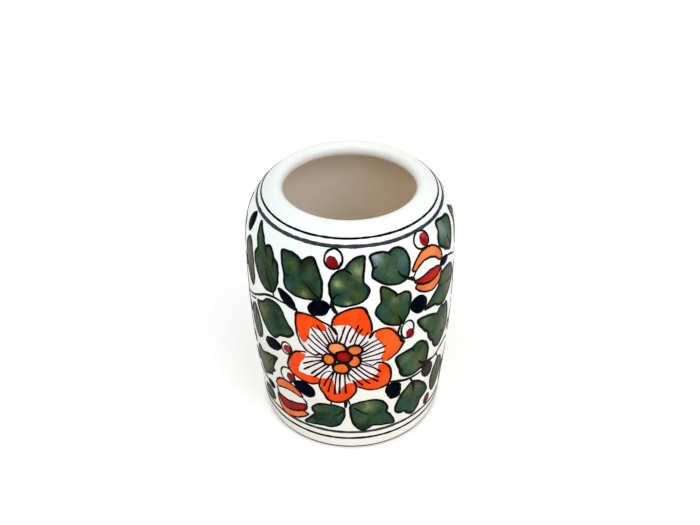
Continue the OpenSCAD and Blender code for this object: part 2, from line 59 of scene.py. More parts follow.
# Sizes of the jar, mm
MM = .001
JAR_H, JAR_D, BELLY_DROP = 115.0, 88.0, 45.0
WALL_CURVE, SHOULDER_CURVE, WALL_T = 545.0, 29.0, 4.2
FLOOR_T, FLOOR_FILLET = 6.0, 7.0
MOUTH_D, LIP_T = 54.4, 6.4
FOOT_RING_W, FOOT_RECESS, FOOT_ROUND = 5.0, 1.8, 1.2
RIM_LINE_Z, RIM_LINE_W = 108.7, 1.5
RIM_THIN_Z, RIM_THIN_W = 111.05, .9
FOOT_LINE_Z, FOOT_LINE_W = 11.2, 1.65
FOOT_LOW_Z, FOOT_LOW_W = 7.0, 1.3
RECESS_ROUND = .6        # rounding of the recess under the foot
FOOT_INNER_ROUND = .5    # rounding of the foot ring's inner edge
GLAZE_END_Z = 1.45       # where the glaze stops above the foot
JAR_POINTS = 240         # points round the jar
RING_POINTS = 360        # points round a painted ring

BELLY_Z = JAR_H - BELLY_DROP
WALL_X = JAR_D / 2 - WALL_CURVE
LIP_R = LIP_T / 2
LIP_X, LIP_Z = MOUTH_D / 2 + LIP_R, JAR_H - LIP_R


def shoulder_centre():
    """Centre of the arc that touches the wall's arc and the lip's round without a corner."""
    wall_reach, lip_reach = WALL_CURVE - SHOULDER_CURVE, SHOULDER_CURVE - LIP_R
    dx, dz = LIP_X - WALL_X, LIP_Z - BELLY_Z
    apart = math.hypot(dx, dz)
    along = (wall_reach ** 2 - lip_reach ** 2 + apart ** 2) / (2 * apart)
    aside = math.sqrt(wall_reach ** 2 - along ** 2)
    return (WALL_X + (dx * along + dz * aside) / apart,
            BELLY_Z + (dz * along - dx * aside) / apart)


SHOULDER_X, SHOULDER_CZ = shoulder_centre()
SHOULDER_TILT = math.atan2(SHOULDER_CZ - BELLY_Z, SHOULDER_X - WALL_X)
LIP_TILT = math.atan2(LIP_Z - SHOULDER_CZ, LIP_X - SHOULDER_X)
SHOULDER_Z = SHOULDER_CZ + SHOULDER_CURVE * math.sin(SHOULDER_TILT)

FIELD_BOTTOM, FIELD_TOP = 12.15, 107.75
FIELD_H = FIELD_TOP - FIELD_BOTTOM
HALF_TURN = 180.0        # degrees that the pattern takes round the jar
REPEAT_SIGNS = (1, -1)   # signs of x and y for the pattern and its repeat half a turn round
FLAT_R = JAR_D / 2       # radius at which turns become flat millimetres
FLAT_PER_U = math.radians(HALF_TURN / 100) * FLAT_R
FLAT_PER_V = FIELD_H / 100

# Heights of the enamel over the glaze, mm
FILL_LIFT, FILL_EDGE_LIFT = .07, .03
BERRY_LIFT, EYE_LIFT, WHITE_LIFT = .14, .1, .02
SUNK = -.08              # the back of the enamel, inside the glaze
LINE_SECTION = ((-1, SUNK), (-.97, .08), (-.6, .16), (0, .19), (.6, .16), (.97, .08), (1, SUNK))
# Spacing of points, mm: inside a patch of colour, along its edge and along a line
FILL_CELL, OUTLINE_STEP, LINE_STEP = 1.15, .5, .7
EDGE_CLEAR = .55         # how clear of its edge the points inside a patch keep, in cells

# The pattern. Outlines are rows of (u, v) or (u, v, bow): bow is how far the edge to the next
# row bows out, as a share of its length.
LEAVES = (
    ((-22.3, 95.3), (-20, 84.7, .28), (-17.2, 77, .06), (-8.6, 78, .12), (-11.2, 96.2, .12),
     (-14.6, 93.8, .1)),
    ((-4.9, 76.4, .1), (.5, 76.2, .16), (5.4, 82.8, .12), (3.6, 86.8, -.03), (4.5, 97.7, .16),
     (-1.7, 92.9, .2), (-6.1, 85, .05)),
    ((5.6, 97.4), (6.8, 92.6, .12), (6.3, 89.3, .08), (11.2, 84.2, .1), (16.9, 84.4, .06),
     (18, 93.5, .2), (14.3, 98.6, .1), (11.9, 97.3, .1)),
    ((8.7, 84.2, .05), (8.9, 76, .2), (7.3, 70, .14), (15.1, 61.6, .05), (17.5, 66.4), (17.9, 71.2, .1),
     (17.6, 77.2, .12), (15.6, 78.5, .05), (13.7, 77.7, .08)),
    ((-35.3, 99.6, .04), (-32.3, 89.4, .12), (-34, 84, .1), (-32.6, 77.5, .12), (-28.6, 71.9, .03),
     (-25, 72.6, .08), (-22.7, 85.5, .2), (-24.7, 90.2, .1), (-27, 94.1, .1), (-28.8, 92.4, .04)),
    ((-34.3, 60.4, .03), (-31.8, 53, .08), (-27.2, 47.2, .1), (-24.8, 48), (-23.4, 50.8, .12),
     (-17.6, 55.4, .02), (-21.2, 62.4, .25), (-25, 67.8, .1), (-29.6, 64.4, -.08)),
    ((23.6, 63.2, -.03), (28.9, 62.2, .05), (31.8, 59.4, .18), (36.5, 60.6, .1), (40.5, 66, .12),
     (39.8, 73, .14), (31.6, 76.6, .1), (30.1, 70.6, .04)),
    ((20.8, 60, .06), (25.8, 49.4, .1), (28.6, 41.4, .14), (32.2, 35, .14), (38.2, 44, .08),
     (36, 56.4, .12), (34.2, 56.2, .1), (31.2, 57.9, .06), (30, 55.6, .08)),
    ((13.7, 43.6, .03), (15.3, 35.2, .18), (18.5, 29.2, .1), (25.9, 31.4, .03), (26.5, 37, .15),
     (22.2, 47.1, .12), (19.3, 45, .08)),
    ((20.4, 24.1, .1), (14.8, 12, .2), (16.3, 6.3), (18.4, 6.1, .05), (22.3, .6, .12), (25.1, 7.6, .05),
     (28.6, 11, .1)),
    ((-.4, 18.1, .05), (-.2, 9, .08), (2.4, 1, .2), (5, .8), (6.8, 3), (14.9, .6, .06),
     (11.3, 10.4, .15), (10.9, 16.3, .15), (5.6, 20.4, .06)),
    ((-2.6, 15.8, .1), (-9.5, 17, .15), (-13.4, 12, .15), (-12.2, 9.4), (-16.8, .7), (-9.4, 2.4, .15),
     (-4.6, 3.8, .12)),
    ((-25.4, 35.2, .03), (-34.3, 29.8, .08), (-37, 31.4, .15), (-38.4, 24, .12), (-34.8, 15.6, -.06),
     (-29.4, 20.6), (-30, 21.8), (-27.6, 25.2), (-28.7, 26, -.04)),
    ((32.7, 99.2, .03), (32.4, 95.8, .15), (30.9, 91, .04), (37.7, 83.4, -.02), (42, 95, .2),
     (38.2, 97.9, .06)),
    ((33.3, 26.2, .06), (29.8, 16.5, .03), (31.2, 8.4, .1), (33.4, 5.6, .12), (37, 14, .08),
     (37, 21, .15)),
    ((-35.8, 56.6, .12), (-39, 52, .1), (-39.4, 44, .1), (-36.5, 37.4, .12), (-32.9, 41.5, .06),
     (-33, 49, .05)),
    ((-38.3, 90.2, .12), (-41.8, 82, .05), (-41.3, 73, .1), (-37, 65.8, .08), (-34.9, 73, -.02),
     (-35.5, 82), (-36, 86.6, .1)),
    ((-31.5, 8, .1), (-35.4, 8, .15), (-37.3, 3.4, .15), (-34, .8), (-31.4, 1.6, .1)))
# Leaves of the same shapes between the two fronts: (leaf, moved by u, moved by v)
SIDE_LEAVES = ((3, 36.3, 13.6), (10, 39.4, 0), (8, 29.3, -2.4), (0, 64.6, -28))
# Veins: (leaf, rows of (u, v, share of the vein's width))
VEINS = (
    (0, ((-8.8, 78, 1.1), (-11, 81, 1), (-13.3, 85.2, .5))), (0, ((-20.1, 85.2, .8), (-18, 86.3, .4))),
    (0, ((-14.6, 94, 1), (-15.2, 92, .5))), (1, ((-5.4, 78, 1), (-4.2, 80.8, .8), (-2.4, 81.9, .4))),
    (1, ((-1.8, 92.9, 1), (-.2, 91.6, .8), (.4, 90.6, .4))),
    (2, ((17.2, 84.6, 1.3), (15, 87, 1), (13.9, 89.8, .5))), (2, ((6.8, 92.6, .9), (8.2, 93.4, .4))),
    (2, ((11.9, 97.3, 1), (12.4, 96.2, .5))),
    (3, ((15.2, 61.4, 1.1), (14.7, 64.5, .9), (13.8, 68, .4))),
    (3, ((13.8, 77.9, 1), (12.7, 77.2, .5))),
    (4, ((-28.8, 92.4, .9), (-28, 90, .7), (-27.3, 88.3, .3))),
    (4, ((-24.9, 90.2, .8), (-24.9, 87.6, .6), (-24.9, 85.6, .3))),
    (4, ((-25.2, 73, 1), (-27, 78, .8), (-27.9, 83.4, .4))),
    (4, ((-33.2, 79.8, .8), (-31.4, 81.1, .3))), (7, ((30, 55.6, 1), (30.8, 53.3, .4))),
    (7, ((34.1, 56.2, .9), (34.6, 53.8, .4))),
    (7, ((32.8, 42.8, .5), (34.8, 40.6, .8), (36.7, 38.8, 1))),
    (8, ((26.5, 31, 2.2), (24, 32.5, 1.8), (22.3, 35.4, .7))), (8, ((19.2, 45, 1), (20.5, 42.2, .4))),
    (9, ((20.2, 24.8, 2.2), (21.1, 21, 1.7), (21.3, 16.6, .8))),
    (10, ((.6, 16.2, 1.1), (3, 13, 1), (5.5, 10.8, .6))),
    (11, ((-3, 14.2, .9), (-4.5, 11, .8), (-6.4, 9.7, .4))), (6, ((30.2, 70.6, .9), (32, 69.6, .4))),
    (6, ((40.4, 66.2, 1.1), (37.4, 67.6, .8), (34.8, 68, .4))),
    (12, ((-26.4, 33.6, 1), (-29.4, 30, .8), (-31.4, 25.6, .4))),
    (13, ((37.7, 84, 1), (37.2, 88, .8), (36, 91.4, .4))),
    (14, ((33.4, 26, 1.1), (33.9, 21, .9), (33.6, 16, .4))),
    (15, ((-35.6, 56, 1), (-36.2, 50.6, .8), (-36.2, 46.4, .4))),
    (16, ((-37.2, 66.6, 1), (-37.6, 73, .8), (-38.2, 79, .4))),
    (17, ((-31.6, 7.2, .8), (-33.8, 5.2, .4))))
# Washes of other colours in each leaf: (u, v, radius in mm, colour, strength). The pale and icy washes
# are painted highlights.
OLIVE, TEAL, PALE_HIGHLIGHT, ICE_HIGHLIGHT, SAGE, DEEP, UMBER = range(7)
WASH_LAYERS = ("wash_a", "wash_b", "wash_c")    # each holds three of the strengths
WASH_COUNT = 3 * len(WASH_LAYERS)
WASHES = {
    0: ((-13.6, 79.5, 2.3, OLIVE, 1.1), (-13.4, 78.8, 1.5, PALE_HIGHLIGHT, .2), (-19, 81, 3.6, TEAL, 1),
        (-20.6, 90, 2.4, TEAL, .9), (-17.6, 91, 1.8, OLIVE, .7), (-11.4, 90.5, 3, PALE_HIGHLIGHT, .1),
        (-14.4, 93.4, 4, DEEP, 1.1), (-11.6, 83.4, 2.6, DEEP, 1.1), (-17.6, 86, 2.6, DEEP, .4)),
    1: ((-3.6, 86.6, 1.3, PALE_HIGHLIGHT, 1), (-.7, 76.9, 1, PALE_HIGHLIGHT, .9), (1.8, 80, 2.6, OLIVE, .5),
        (1, 85, 4, SAGE, .35), (2.6, 92, 3, PALE_HIGHLIGHT, .6), (-4.9, 89, 3.2, OLIVE, .45),
        (-2.6, 79.6, 2.6, TEAL, .8), (3.7, 88, 2.4, TEAL, .5), (-2.4, 86, 2.6, SAGE, .7)),
    2: ((7.4, 97.2, 2.6, ICE_HIGHLIGHT, .9), (9.4, 97, 2.6, SAGE, .6), (9, 95.6, 3, PALE_HIGHLIGHT, .15),
        (7.6, 91, 2.8, TEAL, .8), (11.4, 89, 3.6, PALE_HIGHLIGHT, .12), (16, 94, 3.4, ICE_HIGHLIGHT, .2),
        (15, 90, 4, TEAL, .7)),
    3: ((10, 80.6, 3.4, OLIVE, .5), (12.8, 76, 2.6, PALE_HIGHLIGHT, .25), (9, 71.5, 3.4, TEAL, 1),
        (13, 71, 3, OLIVE, .35), (16.2, 76.4, 2.8, SAGE, .8), (16.8, 71, 2.6, TEAL, .5),
        (12.4, 65.4, 2.6, OLIVE, .4)),
    4: ((-33, 94.5, 4, SAGE, .5), (-30.8, 82, 3.2, TEAL, .4), (-26, 90, 2.6, OLIVE, .3),
        (-27.6, 82, 5.5, DEEP, .6), (-28.6, 84, 4.4, UMBER, .15)),
    5: ((-28, 51, 3, TEAL, .5), (-30, 60.8, 3, OLIVE, .7), (-31.4, 57, 3, OLIVE, .7),
        (-24.4, 57.6, 5, DEEP, .55), (-31.6, 58, 3.4, UMBER, .5)),
    6: ((37, 64, 4, OLIVE, .8), (34, 73, 4, OLIVE, .6), (29.4, 64.4, 3, SAGE, .5),
        (37, 66, 4, UMBER, .6)),
    7: ((26.6, 53, 3, SAGE, .5), (33.5, 46, 5, OLIVE, .7), (24, 57, 2.4, PALE_HIGHLIGHT, .3),
        (33.6, 45, 4, UMBER, .5)),
    8: ((17.4, 40.6, 2.8, PALE_HIGHLIGHT, .3), (22.6, 38, 4, OLIVE, .7), (20.4, 33, 3.4, SAGE, .9),
        (15.4, 38, 2.2, TEAL, .9), (22.4, 35, 3.4, UMBER, .4)),
    9: ((19.4, 19.4, 3.4, OLIVE, .8), (24.6, 18, 3, OLIVE, .6), (19, 10, 4, TEAL, .6),
        (22.6, 7, 2, OLIVE, .4), (20.8, 19.6, 3.4, UMBER, .5)),
    10: ((4.6, 17, 3, PALE_HIGHLIGHT, .5), (7, 14.6, 2.6, OLIVE, .7), (.6, 12.5, 2, TEAL, .6),
        (9, 11.6, 3.4, DEEP, .45), (10.4, 4.6, 3, TEAL, .4), (3, 8, 3, OLIVE, .3)),
    11: ((-11.8, 13.6, 2.2, OLIVE, .55), (-8.6, 15, 2, OLIVE, .35), (-6.6, 5.4, 3, TEAL, .5),
        (-9.6, 8.4, 5, DEEP, .55)),
    12: ((-34.6, 25, 5, OLIVE, .7), (-30, 28.6, 4, OLIVE, .7), (-31.4, 24.6, 5, DEEP, 1.1),
        (-34.6, 24.6, 4, UMBER, .6)),
    13: ((36.6, 93.8, 3.4, SAGE, .9), (34, 95, 3.4, ICE_HIGHLIGHT, .5), (34.6, 97.4, 2.6, PALE_HIGHLIGHT, .4),
        (37.4, 88.6, 3.4, OLIVE, .6), (37.6, 88, 3.4, UMBER, .5)),
    14: ((34.8, 20, 4, OLIVE, .9), (33.6, 15, 5, DEEP, .7), (34.8, 18, 6, UMBER, .8)),
    15: ((-37, 50, 3.4, OLIVE, .5), (-37, 48, 6, UMBER, .8)),
    16: ((-38.6, 80, 4, OLIVE, .4), (-38.6, 78, 8, UMBER, .9)),
    17: ((-34, 4.6, 2.6, OLIVE, .3), (-34, 4.6, 4, DEEP, .9))}
# How wide each leaf's outline is, as a share of the common width
LEAF_LINE_SHARES = (
    1, 1, 1, 1, 1.15, 1.15, 1.25, 1.25, 1.3, 1.3, 1.05, 1.05, 1.2, 1.25, 1.2, 1.1, 1.1, 1.1)
# Washes in each outline of the flower, the berries and the tulips, in the same way. LIGHT and
# SHADE are each enamel's own two.
LIGHT, SHADE = range(2)
PETAL_WASHES = {
    1: ((11.6, 54, 9, LIGHT, 1),),
    2: ((10, 33, 5, LIGHT, .4),),
    3: ((-9, 27, 4, SHADE, .4), (0, 27, 4, SHADE, .3)),
    4: ((-18, 38, 4, SHADE, .3),)}
ANTHER_WASHES = {
    0: ((-4.4, 52.6, 3, LIGHT, .9),),
    1: ((1.4, 53, 2.4, SHADE, .8),),
    2: ((1.8, 46, 2.4, SHADE, .6),),
    3: ((-4.4, 41, 1.6, SHADE, .4),)}
BERRY_WASHES = {
    1: ((27.1, 25.6, 4, LIGHT, 1),)}
EYE_WASHES = {
    0: ((-2.5, 48.3, 2, LIGHT, .9),)}
TULIP_WASHES = {
    0: ((25, 91, 8, LIGHT, 1),),
    1: ((26, 74, 6, LIGHT, .5),),
    2: ((-22, 21, 5, SHADE, .4),),
    3: ((-26.6, 3, 3, SHADE, .3), (-19, 3.4, 3, LIGHT, .4))}
THROAT_WASHES = {
    0: ((24.6, 80.4, 4, LIGHT, .6),),
    1: ((-21.4, 8, 6, SHADE, .9),)}

# Dark vines and stems: rows of (u, v, share of the stem's width)
STEMS = (
    ((-16, 68.1, .8), (-16.8, 70.2, .8), (-21.2, 70.3, .9), (-25.3, 70.2, 1), (-29, 68.2, 1),
     (-32, 65.4, .9), (-35.6, 61.9, .9), (-38.6, 59.6, .8), (-42.3, 57.6, .5)),
    ((-34.9, 60.2, .7), (-37.6, 58.2, .6), (-40.2, 56.4, .4)),
    ((-3.8, 71.3, 1.2), (-4.7, 73.4, 1.5), (-5.3, 75.6, 1.5), (-5.4, 78.6, 1.1)),
    ((14.9, 61.4, 1), (14.3, 59.4, .8), (14.2, 56.6, .6)),
    ((11.9, 29.8, 1), (14.8, 28.5, 1.2), (17.4, 27.3, 1.3), (21, 27, 1.3), (24.2, 27.4, 1)),
    ((26.2, 31.2, 1.3), (29, 30.2, 1.2), (31.4, 30.3, 1.1), (34.2, 31.8, 1), (37.4, 32.4, .9),
     (41, 31, .6)),
    ((19.5, 26.8, .8), (20.4, 24, .9)),
    ((31.8, 29.9, .8), (32.7, 28, .7), (33.3, 25.8, .6)),
    ((35.4, 82, .9), (38.2, 80.2, .8), (41, 77.8, .7), (44.2, 75, .5)),
    ((16.7, 84.8, 1.2), (18.4, 83.6, 1.5), (19.5, 81.7, .9)),
    ((-2.1, 21.4, 1.2), (-2, 19.4, 1.4), (-2.1, 15.8, 1.1)),
    ((-1.4, 21.8, .5), (-.9, 19.8, .7), (-.4, 17.9, .6)),
    ((-6.6, 19.6, .7), (-6.8, 16.9, .6)),
    ((-24.9, 73, .8), (-24.7, 70.4, .8)),
    ((-33.8, 12.6, .9), (-37.6, 13.8, .7), (-41.4, 13.8, .5)),
    ((47.2, 73, .7), (50.4, 74.6, .8), (53.6, 73.2, .6)),
    ((-2.6, 95.9, .7), (-3, 94.3, 1.1), (-3.7, 92.8, .9)),
    ((-16.7, 16.9, .6), (-15.6, 15.4, .8), (-15, 13.3, .6)),
    ((-28.1, 15.3, .8), (-27.7, 12.8, 1), (-27.4, 10.6, .9)),
    ((19.9, 85.7, .6), (19.2, 84.5, .7), (18.8, 83.2, .6)),
    ((44.4, 46.6, .5), (48.4, 46.4, .8), (52.4, 46.8, .8), (55.4, 45.6, .6)))
# Navy berries and the cups of the tulips, as ovals: (u, v, half length, half width in mm, tilt)
BERRIES = (
    (-27, 42.2, 5.75, 3.4, 22), (27.1, 25.6, 5.7, 3.7, -64), (21.3, 68.4, 5.15, 4.2, -50),
    (-40.6, 95.4, 4.29, 3.19, 80), (33, 81.6, 3.8, 2.3, -14), (-31.6, 12.2, 3.19, 2.42, 10),
    (-44.4, 72.6, 3.52, 2.64, 70), (-42.2, 48.8, 3.19, 2.2, 80), (40.5, 38.6, 2.86, 1.98, 80),
    (-42, 31, 3.96, 2.86, 75))
# Navy berries that end in a point, as outlines
POINTED_BERRIES = (
    ((-12.9, 72.3, .05), (-12, 69.6, .1), (-9.8, 68.9, .06), (-7.4, 70.3, .06), (-6.1, 73.2, .03),
     (-5.2, 75.6), (-5.8, 75.5, .08), (-7, 77.4, .08), (-9.2, 77.7, .06), (-11.8, 75.6, .03)),
    ((-23.1, 76.4, .05), (-22.8, 74.9, .05), (-21.2, 71.5, .05), (-19.4, 69.4, .05), (-17.2, 68.4, .1),
     (-16, 68.9, .05), (-16.4, 70.9, .05), (-17.5, 74.5, .06), (-20.1, 76.8, .08), (-21.9, 77.5, .1)),
    ((-19.6, 25.7, .05), (-18.6, 21.8, .05), (-16.9, 19.9, .06), (-14.6, 18.9, .08), (-12.4, 20, .06),
     (-11.7, 22.2, .05), (-12.1, 25.7, .08), (-14.1, 28.1, .08), (-16.8, 28.3, .06)),
    ((11.2, 28.2, .03), (10.6, 26.2, .06), (10.8, 22.7, .05), (11.8, 19.8, .03), (12.6, 17.9, .03),
     (14, 17.8, .06), (15.9, 18.5, .05), (16.2, 20.8, .05), (16.3, 24.5, .08), (15.2, 27.6, .05),
     (12.5, 29, .03)))

# The orange of the six petals, from the top one clockwise
PETAL_COLOURS = (
    ((6.1, 63.7, .02), (5, 70.2, .06), (3.3, 74.4, .06), (-.3, 73.9, .06), (-3.8, 70.7, .06),
     (-5, 67.5, .04), (-5.4, 64.6), (-2.8, 65.6), (-.3, 65.8), (1.5, 61.8, -.03), (3.2, 59.4),
     (4.9, 59.9), (6, 61)),
    ((10.1, 43.2, .06), (14.1, 47, .06), (16.1, 51.5), (15.2, 52.1, .06), (13.4, 59.8, .06),
     (10.8, 62.6, .06), (8.4, 61.8, .05), (6.5, 59.5), (8.4, 54.7), (9.8, 52.1), (9.6, 48.5), (8.7, 46),
     (9.1, 43.2)),
    ((7.8, 42), (8.2, 38), (7.1, 35.3), (4.8, 34.4), (1.6, 34.2), (1, 33, .05), (1.6, 30.3, .05),
     (3.3, 28.3, .06), (7.2, 27.2, .08), (11.4, 28.7, .06), (12, 34.7, .06), (11, 40.2, .05),
     (9.3, 42.4)),
    ((-10, 33.2, .03), (-9.7, 28.4, .05), (-7, 20.1, .04), (-4.2, 19.9, .05), (-.6, 22.3, .06),
     (1.4, 28.7, .04), (.9, 32.3), (-.5, 32.5), (-2.4, 31.1), (-3.2, 28.6), (-4, 25.3), (-5, 26.3),
     (-5.5, 32.1), (-6, 34.9)),
    ((-17.5, 44.8, .03), (-19.4, 40.8, .05), (-20.5, 35.8, .06), (-20, 31.5, .06), (-17.2, 29.3, .04),
     (-13.2, 28.9, .04), (-9.9, 30.3), (-9.6, 33.2), (-11.4, 34), (-14.7, 33.8), (-16.9, 34.2, -.04),
     (-16.2, 38.5, -.03), (-14.7, 42.8), (-14.1, 46.1), (-15.9, 45.9)),
    ((-16.1, 67.5, .03), (-16.5, 64.5, .03), (-16.7, 60.9, .03), (-15.9, 56.2, .03), (-14.8, 53, .1),
     (-13.7, 52.9), (-12.7, 56.2), (-12.4, 59.8), (-12.1, 62.7), (-10.6, 62.3), (-9.1, 61.5),
     (-7.3, 61.6, .1), (-7.2, 64.1, .05), (-8.6, 66, .05), (-10.4, 67.7, .05), (-13.1, 68.3, .03)))
# The dark outline of each petal: rows of (u, v, share of the outline's width)
PETAL_LINES = (
    ((-5, 62, .7), (-5.5, 65, .9), (-5.2, 68, 1), (-3.9, 71, 1), (-.4, 74.2, 1), (3.4, 74.6, 1.2),
     (5, 70.3, 1), (5.8, 66, 1), (6, 63, 1), (5.8, 61.3, .8)),
    ((5.2, 57.8, 1.2), (5.8, 59.5, 1.4), (6.4, 60.8, 1.2), (7.3, 61.6, .9), (8.6, 62.2, .8),
     (10.2, 62, .8), (11.6, 61, .9), (13.2, 58.4, 1), (14.6, 55.2, 1.2), (15.5, 52.2, 1.5),
     (16.2, 51.2, 1.5), (14.3, 46.9, .9), (12.6, 44.8, .8), (10.6, 43.2, .7)),
    ((3.5, 44.8, .5), (5.3, 43.1, .6), (6.3, 42.2, .6), (7.7, 43.3, .9), (8.5, 43.2, 1), (9.6, 42.5, 1),
     (10.7, 41.3, 1), (11.6, 39.3, 1), (12.1, 37, 1), (12.3, 33.8, 1), (12, 30.8, 1), (11.4, 28.9, 1),
     (10.2, 27.9, 1), (8.8, 27.3, .9), (7.2, 27.1, .8), (5.6, 27.3, .9), (4.1, 28.1, .9),
     (2.5, 29.4, .9), (1.6, 30.2, .7)),
    ((-5.9, 39, .5), (-7.7, 38, .5), (-9.3, 34.8, .6), (-9.9, 31.7, .8), (-10.1, 29.1, .9),
     (-9.7, 26.7, 1), (-8.6, 23.7, 1), (-7.4, 20.5, 1.2), (-4.4, 19.5, 1), (-2.2, 20.5, 1),
     (-.9, 22.1, 1), (-.3, 23.1, 1), (.6, 25, 1), (1.2, 26.8, 1), (1.4, 29, 1), (1.2, 31.3, 1),
     (.8, 33, .9), (.2, 34.3, .6)),
    ((-13.6, 47.4, .6), (-15.9, 46.5, .9), (-17.8, 45.1, 1), (-19.8, 41, 1), (-20.9, 36, 1),
     (-20.6, 33, 1), (-19.6, 31.2, 1), (-17.3, 29.8, 1), (-15.3, 28.9, 1), (-13.3, 28.6, 1),
     (-11.4, 29.3, .9), (-10, 30.6, .8)),
    ((-4, 59.8, 1.3), (-4.6, 62, 1.5), (-5.3, 63.6, 1.4), (-6.4, 65.1, 1), (-7.9, 66.1, .9),
     (-9.2, 67.2, .9), (-10.5, 68.1, 1), (-13.1, 68.8, 1), (-16.2, 67.9, 1.3), (-16.7, 64.5, 1),
     (-16.8, 60.9, .9), (-16.5, 56.4, .8), (-16.1, 54.3, .8), (-15.7, 52.2, .8), (-14.9, 50.6, .8),
     (-13.9, 48.8, .9), (-12.5, 47.7, .9), (-11, 47, .9), (-9.6, 48, .8), (-8.5, 48.6, .6)))
# The pinkish white under the rays, out to the petals
FLOWER_WHITE = (
    (-4.6, 62.4), (-4.6, 66), (.5, 68), (4.6, 66), (5.4, 62.2), (5.2, 59), (7.4, 59.4), (11.4, 54),
    (11.6, 48), (9.2, 43.6), (9.4, 40), (9, 35), (5, 31.6), (1.8, 31.8), (.2, 29.6), (-1.4, 26),
    (-4.4, 23.4), (-8, 27), (-9.4, 31.6), (-12, 31.4), (-16.4, 31.6), (-18.6, 36), (-17.4, 42.6),
    (-14.6, 46.4), (-12.8, 47.8), (-14.2, 49.6), (-15.5, 52.6), (-16, 56), (-15.4, 62), (-11.4, 65.4),
    (-7.2, 64.2))
# Rays round the eye: (u, v) at the eye, half way and at the tip, and the tip's share of the width
RAYS = (
    ((-6.8, 53.2), (-9.5, 57.8), (-12, 62.6), .9), ((-7.1, 51.9), (-9.6, 55.2), (-12, 58.7), .8),
    ((-8.4, 50.8), (-10.9, 53.7), (-13.2, 56.9), 1), ((-9.6, 48.5), (-11.4, 50.3), (-13.1, 52.5), .8),
    ((-6.4, 55.3), (-8.2, 60.1), (-10.1, 64.5), 1), ((-5.7, 56.1), (-6.7, 59.3), (-7.5, 62.6), .8),
    ((-4.8, 57), (-5.7, 60.6), (-6.6, 64.1), .8), ((-4.1, 57.5), (-4.1, 58.8), (-4, 60.1), .6),
    ((-3.3, 57), (-2.4, 61.3), (-1.6, 65.6), .8), ((-1.7, 56.6), (-.9, 61.1), (.2, 65.2), .9),
    ((-.5, 55.9), (.9, 60.9), (2.2, 65.9), 1.1), ((.8, 54.9), (1.8, 59.7), (3.3, 63.8), 1.1),
    ((2.3, 54.9), (3.7, 58.3), (5, 61.7), .9), ((2.9, 53.7), (4.1, 55.1), (5.1, 56.7), .5),
    ((3.4, 52.9), (5.7, 55.2), (8.1, 56.8), .9), ((3.5, 50.3), (6.2, 53.1), (9.1, 54.6), 1),
    ((3.4, 48.9), (6.9, 50.8), (10.4, 52.3), 1.2), ((3.5, 47), (6.8, 48.1), (10.2, 49), 1.1),
    ((3.5, 45.2), (6.4, 45.3), (9.5, 45.1), .9), ((2.9, 43.7), (6, 41.3), (9, 37.4), 1.4),
    ((2.4, 42.4), (5.2, 38), (8.5, 34.1), 1.5), ((1.3, 41.5), (4.5, 36.3), (8.3, 31.7), 1.6),
    ((.2, 40.5), (2.8, 35.8), (5.7, 31.1), 1.5), ((-1.1, 38.6), (1.2, 34.7), (3.5, 30.3), 1.4),
    ((-1.2, 37.9), (-1, 35.7), (-.4, 33.6), .6), ((-2.1, 37.3), (-2, 31.5), (-1.8, 25.5), 1.5),
    ((-3.5, 37.3), (-3.7, 31.3), (-3.9, 25.1), 1.5), ((-4.6, 36.5), (-5.1, 30.5), (-5.3, 24.4), 1.6),
    ((-5.7, 36.6), (-6.6, 31.1), (-7.4, 25.4), 1.3), ((-5.8, 37.8), (-7.5, 33.6), (-8.7, 28.8), 1.2),
    ((-7, 41.7), (-9.3, 37.5), (-11.8, 33.1), 1.4), ((-8, 42.2), (-10.3, 38.8), (-12.6, 34.8), 1.3),
    ((-8.6, 44.2), (-11.7, 40.6), (-15.1, 36.2), 1.2),
    ((-9.1, 44.6), (-12.1, 42.7), (-15.1, 39.8), 1.2), ((-9.6, 46.2), (-12.1, 45.4), (-14.6, 43.8), .8))
# Ovals: (u, v, half width, half height in mm), and the buds' tilt in degrees
EYE = (-2.3, 48, 3.3, 3.1)
ANTHERS = (
    (-4.2, 52.4, 3.8, 3.4), (1, 51.8, 3.1, 2.7), (.8, 45.5, 2.8, 3.3), (-3.1, 41.1, 3.4, 3),
    (-6.7, 45.8, 2.7, 3.1))
BUD_RINGS = (
    (-5.1, 96.5, 4.25, 4, 0), (24.1, 97.4, 4.6, 3.6, 0), (17.3, 57.5, 3.5, 5, 0),
    (-20.9, 44.9, 3.8, 3.1, 77), (-21.7, 28, 4.9, 4.2, 63), (-42, 20.4, 3.1, 3.5, 0),
    (29.4, 3.6, 2.4, 3.4, 0))
BUD_HEARTS = (
    (-5.4, 95.2, 2.8, 2.2, -38), (25.3, 97, 2.7, 2.5, -22), (18.3, 54.6, 2.9, 2, -69),
    (-20.5, 44.6, 2.5, 2.2, 38), (-20.2, 27.3, 2.9, 2.5, 87), (-41.8, 19.2, 1.9, 2.2, 0),
    (29.6, 3.9, 1.8, 2.8, 0))
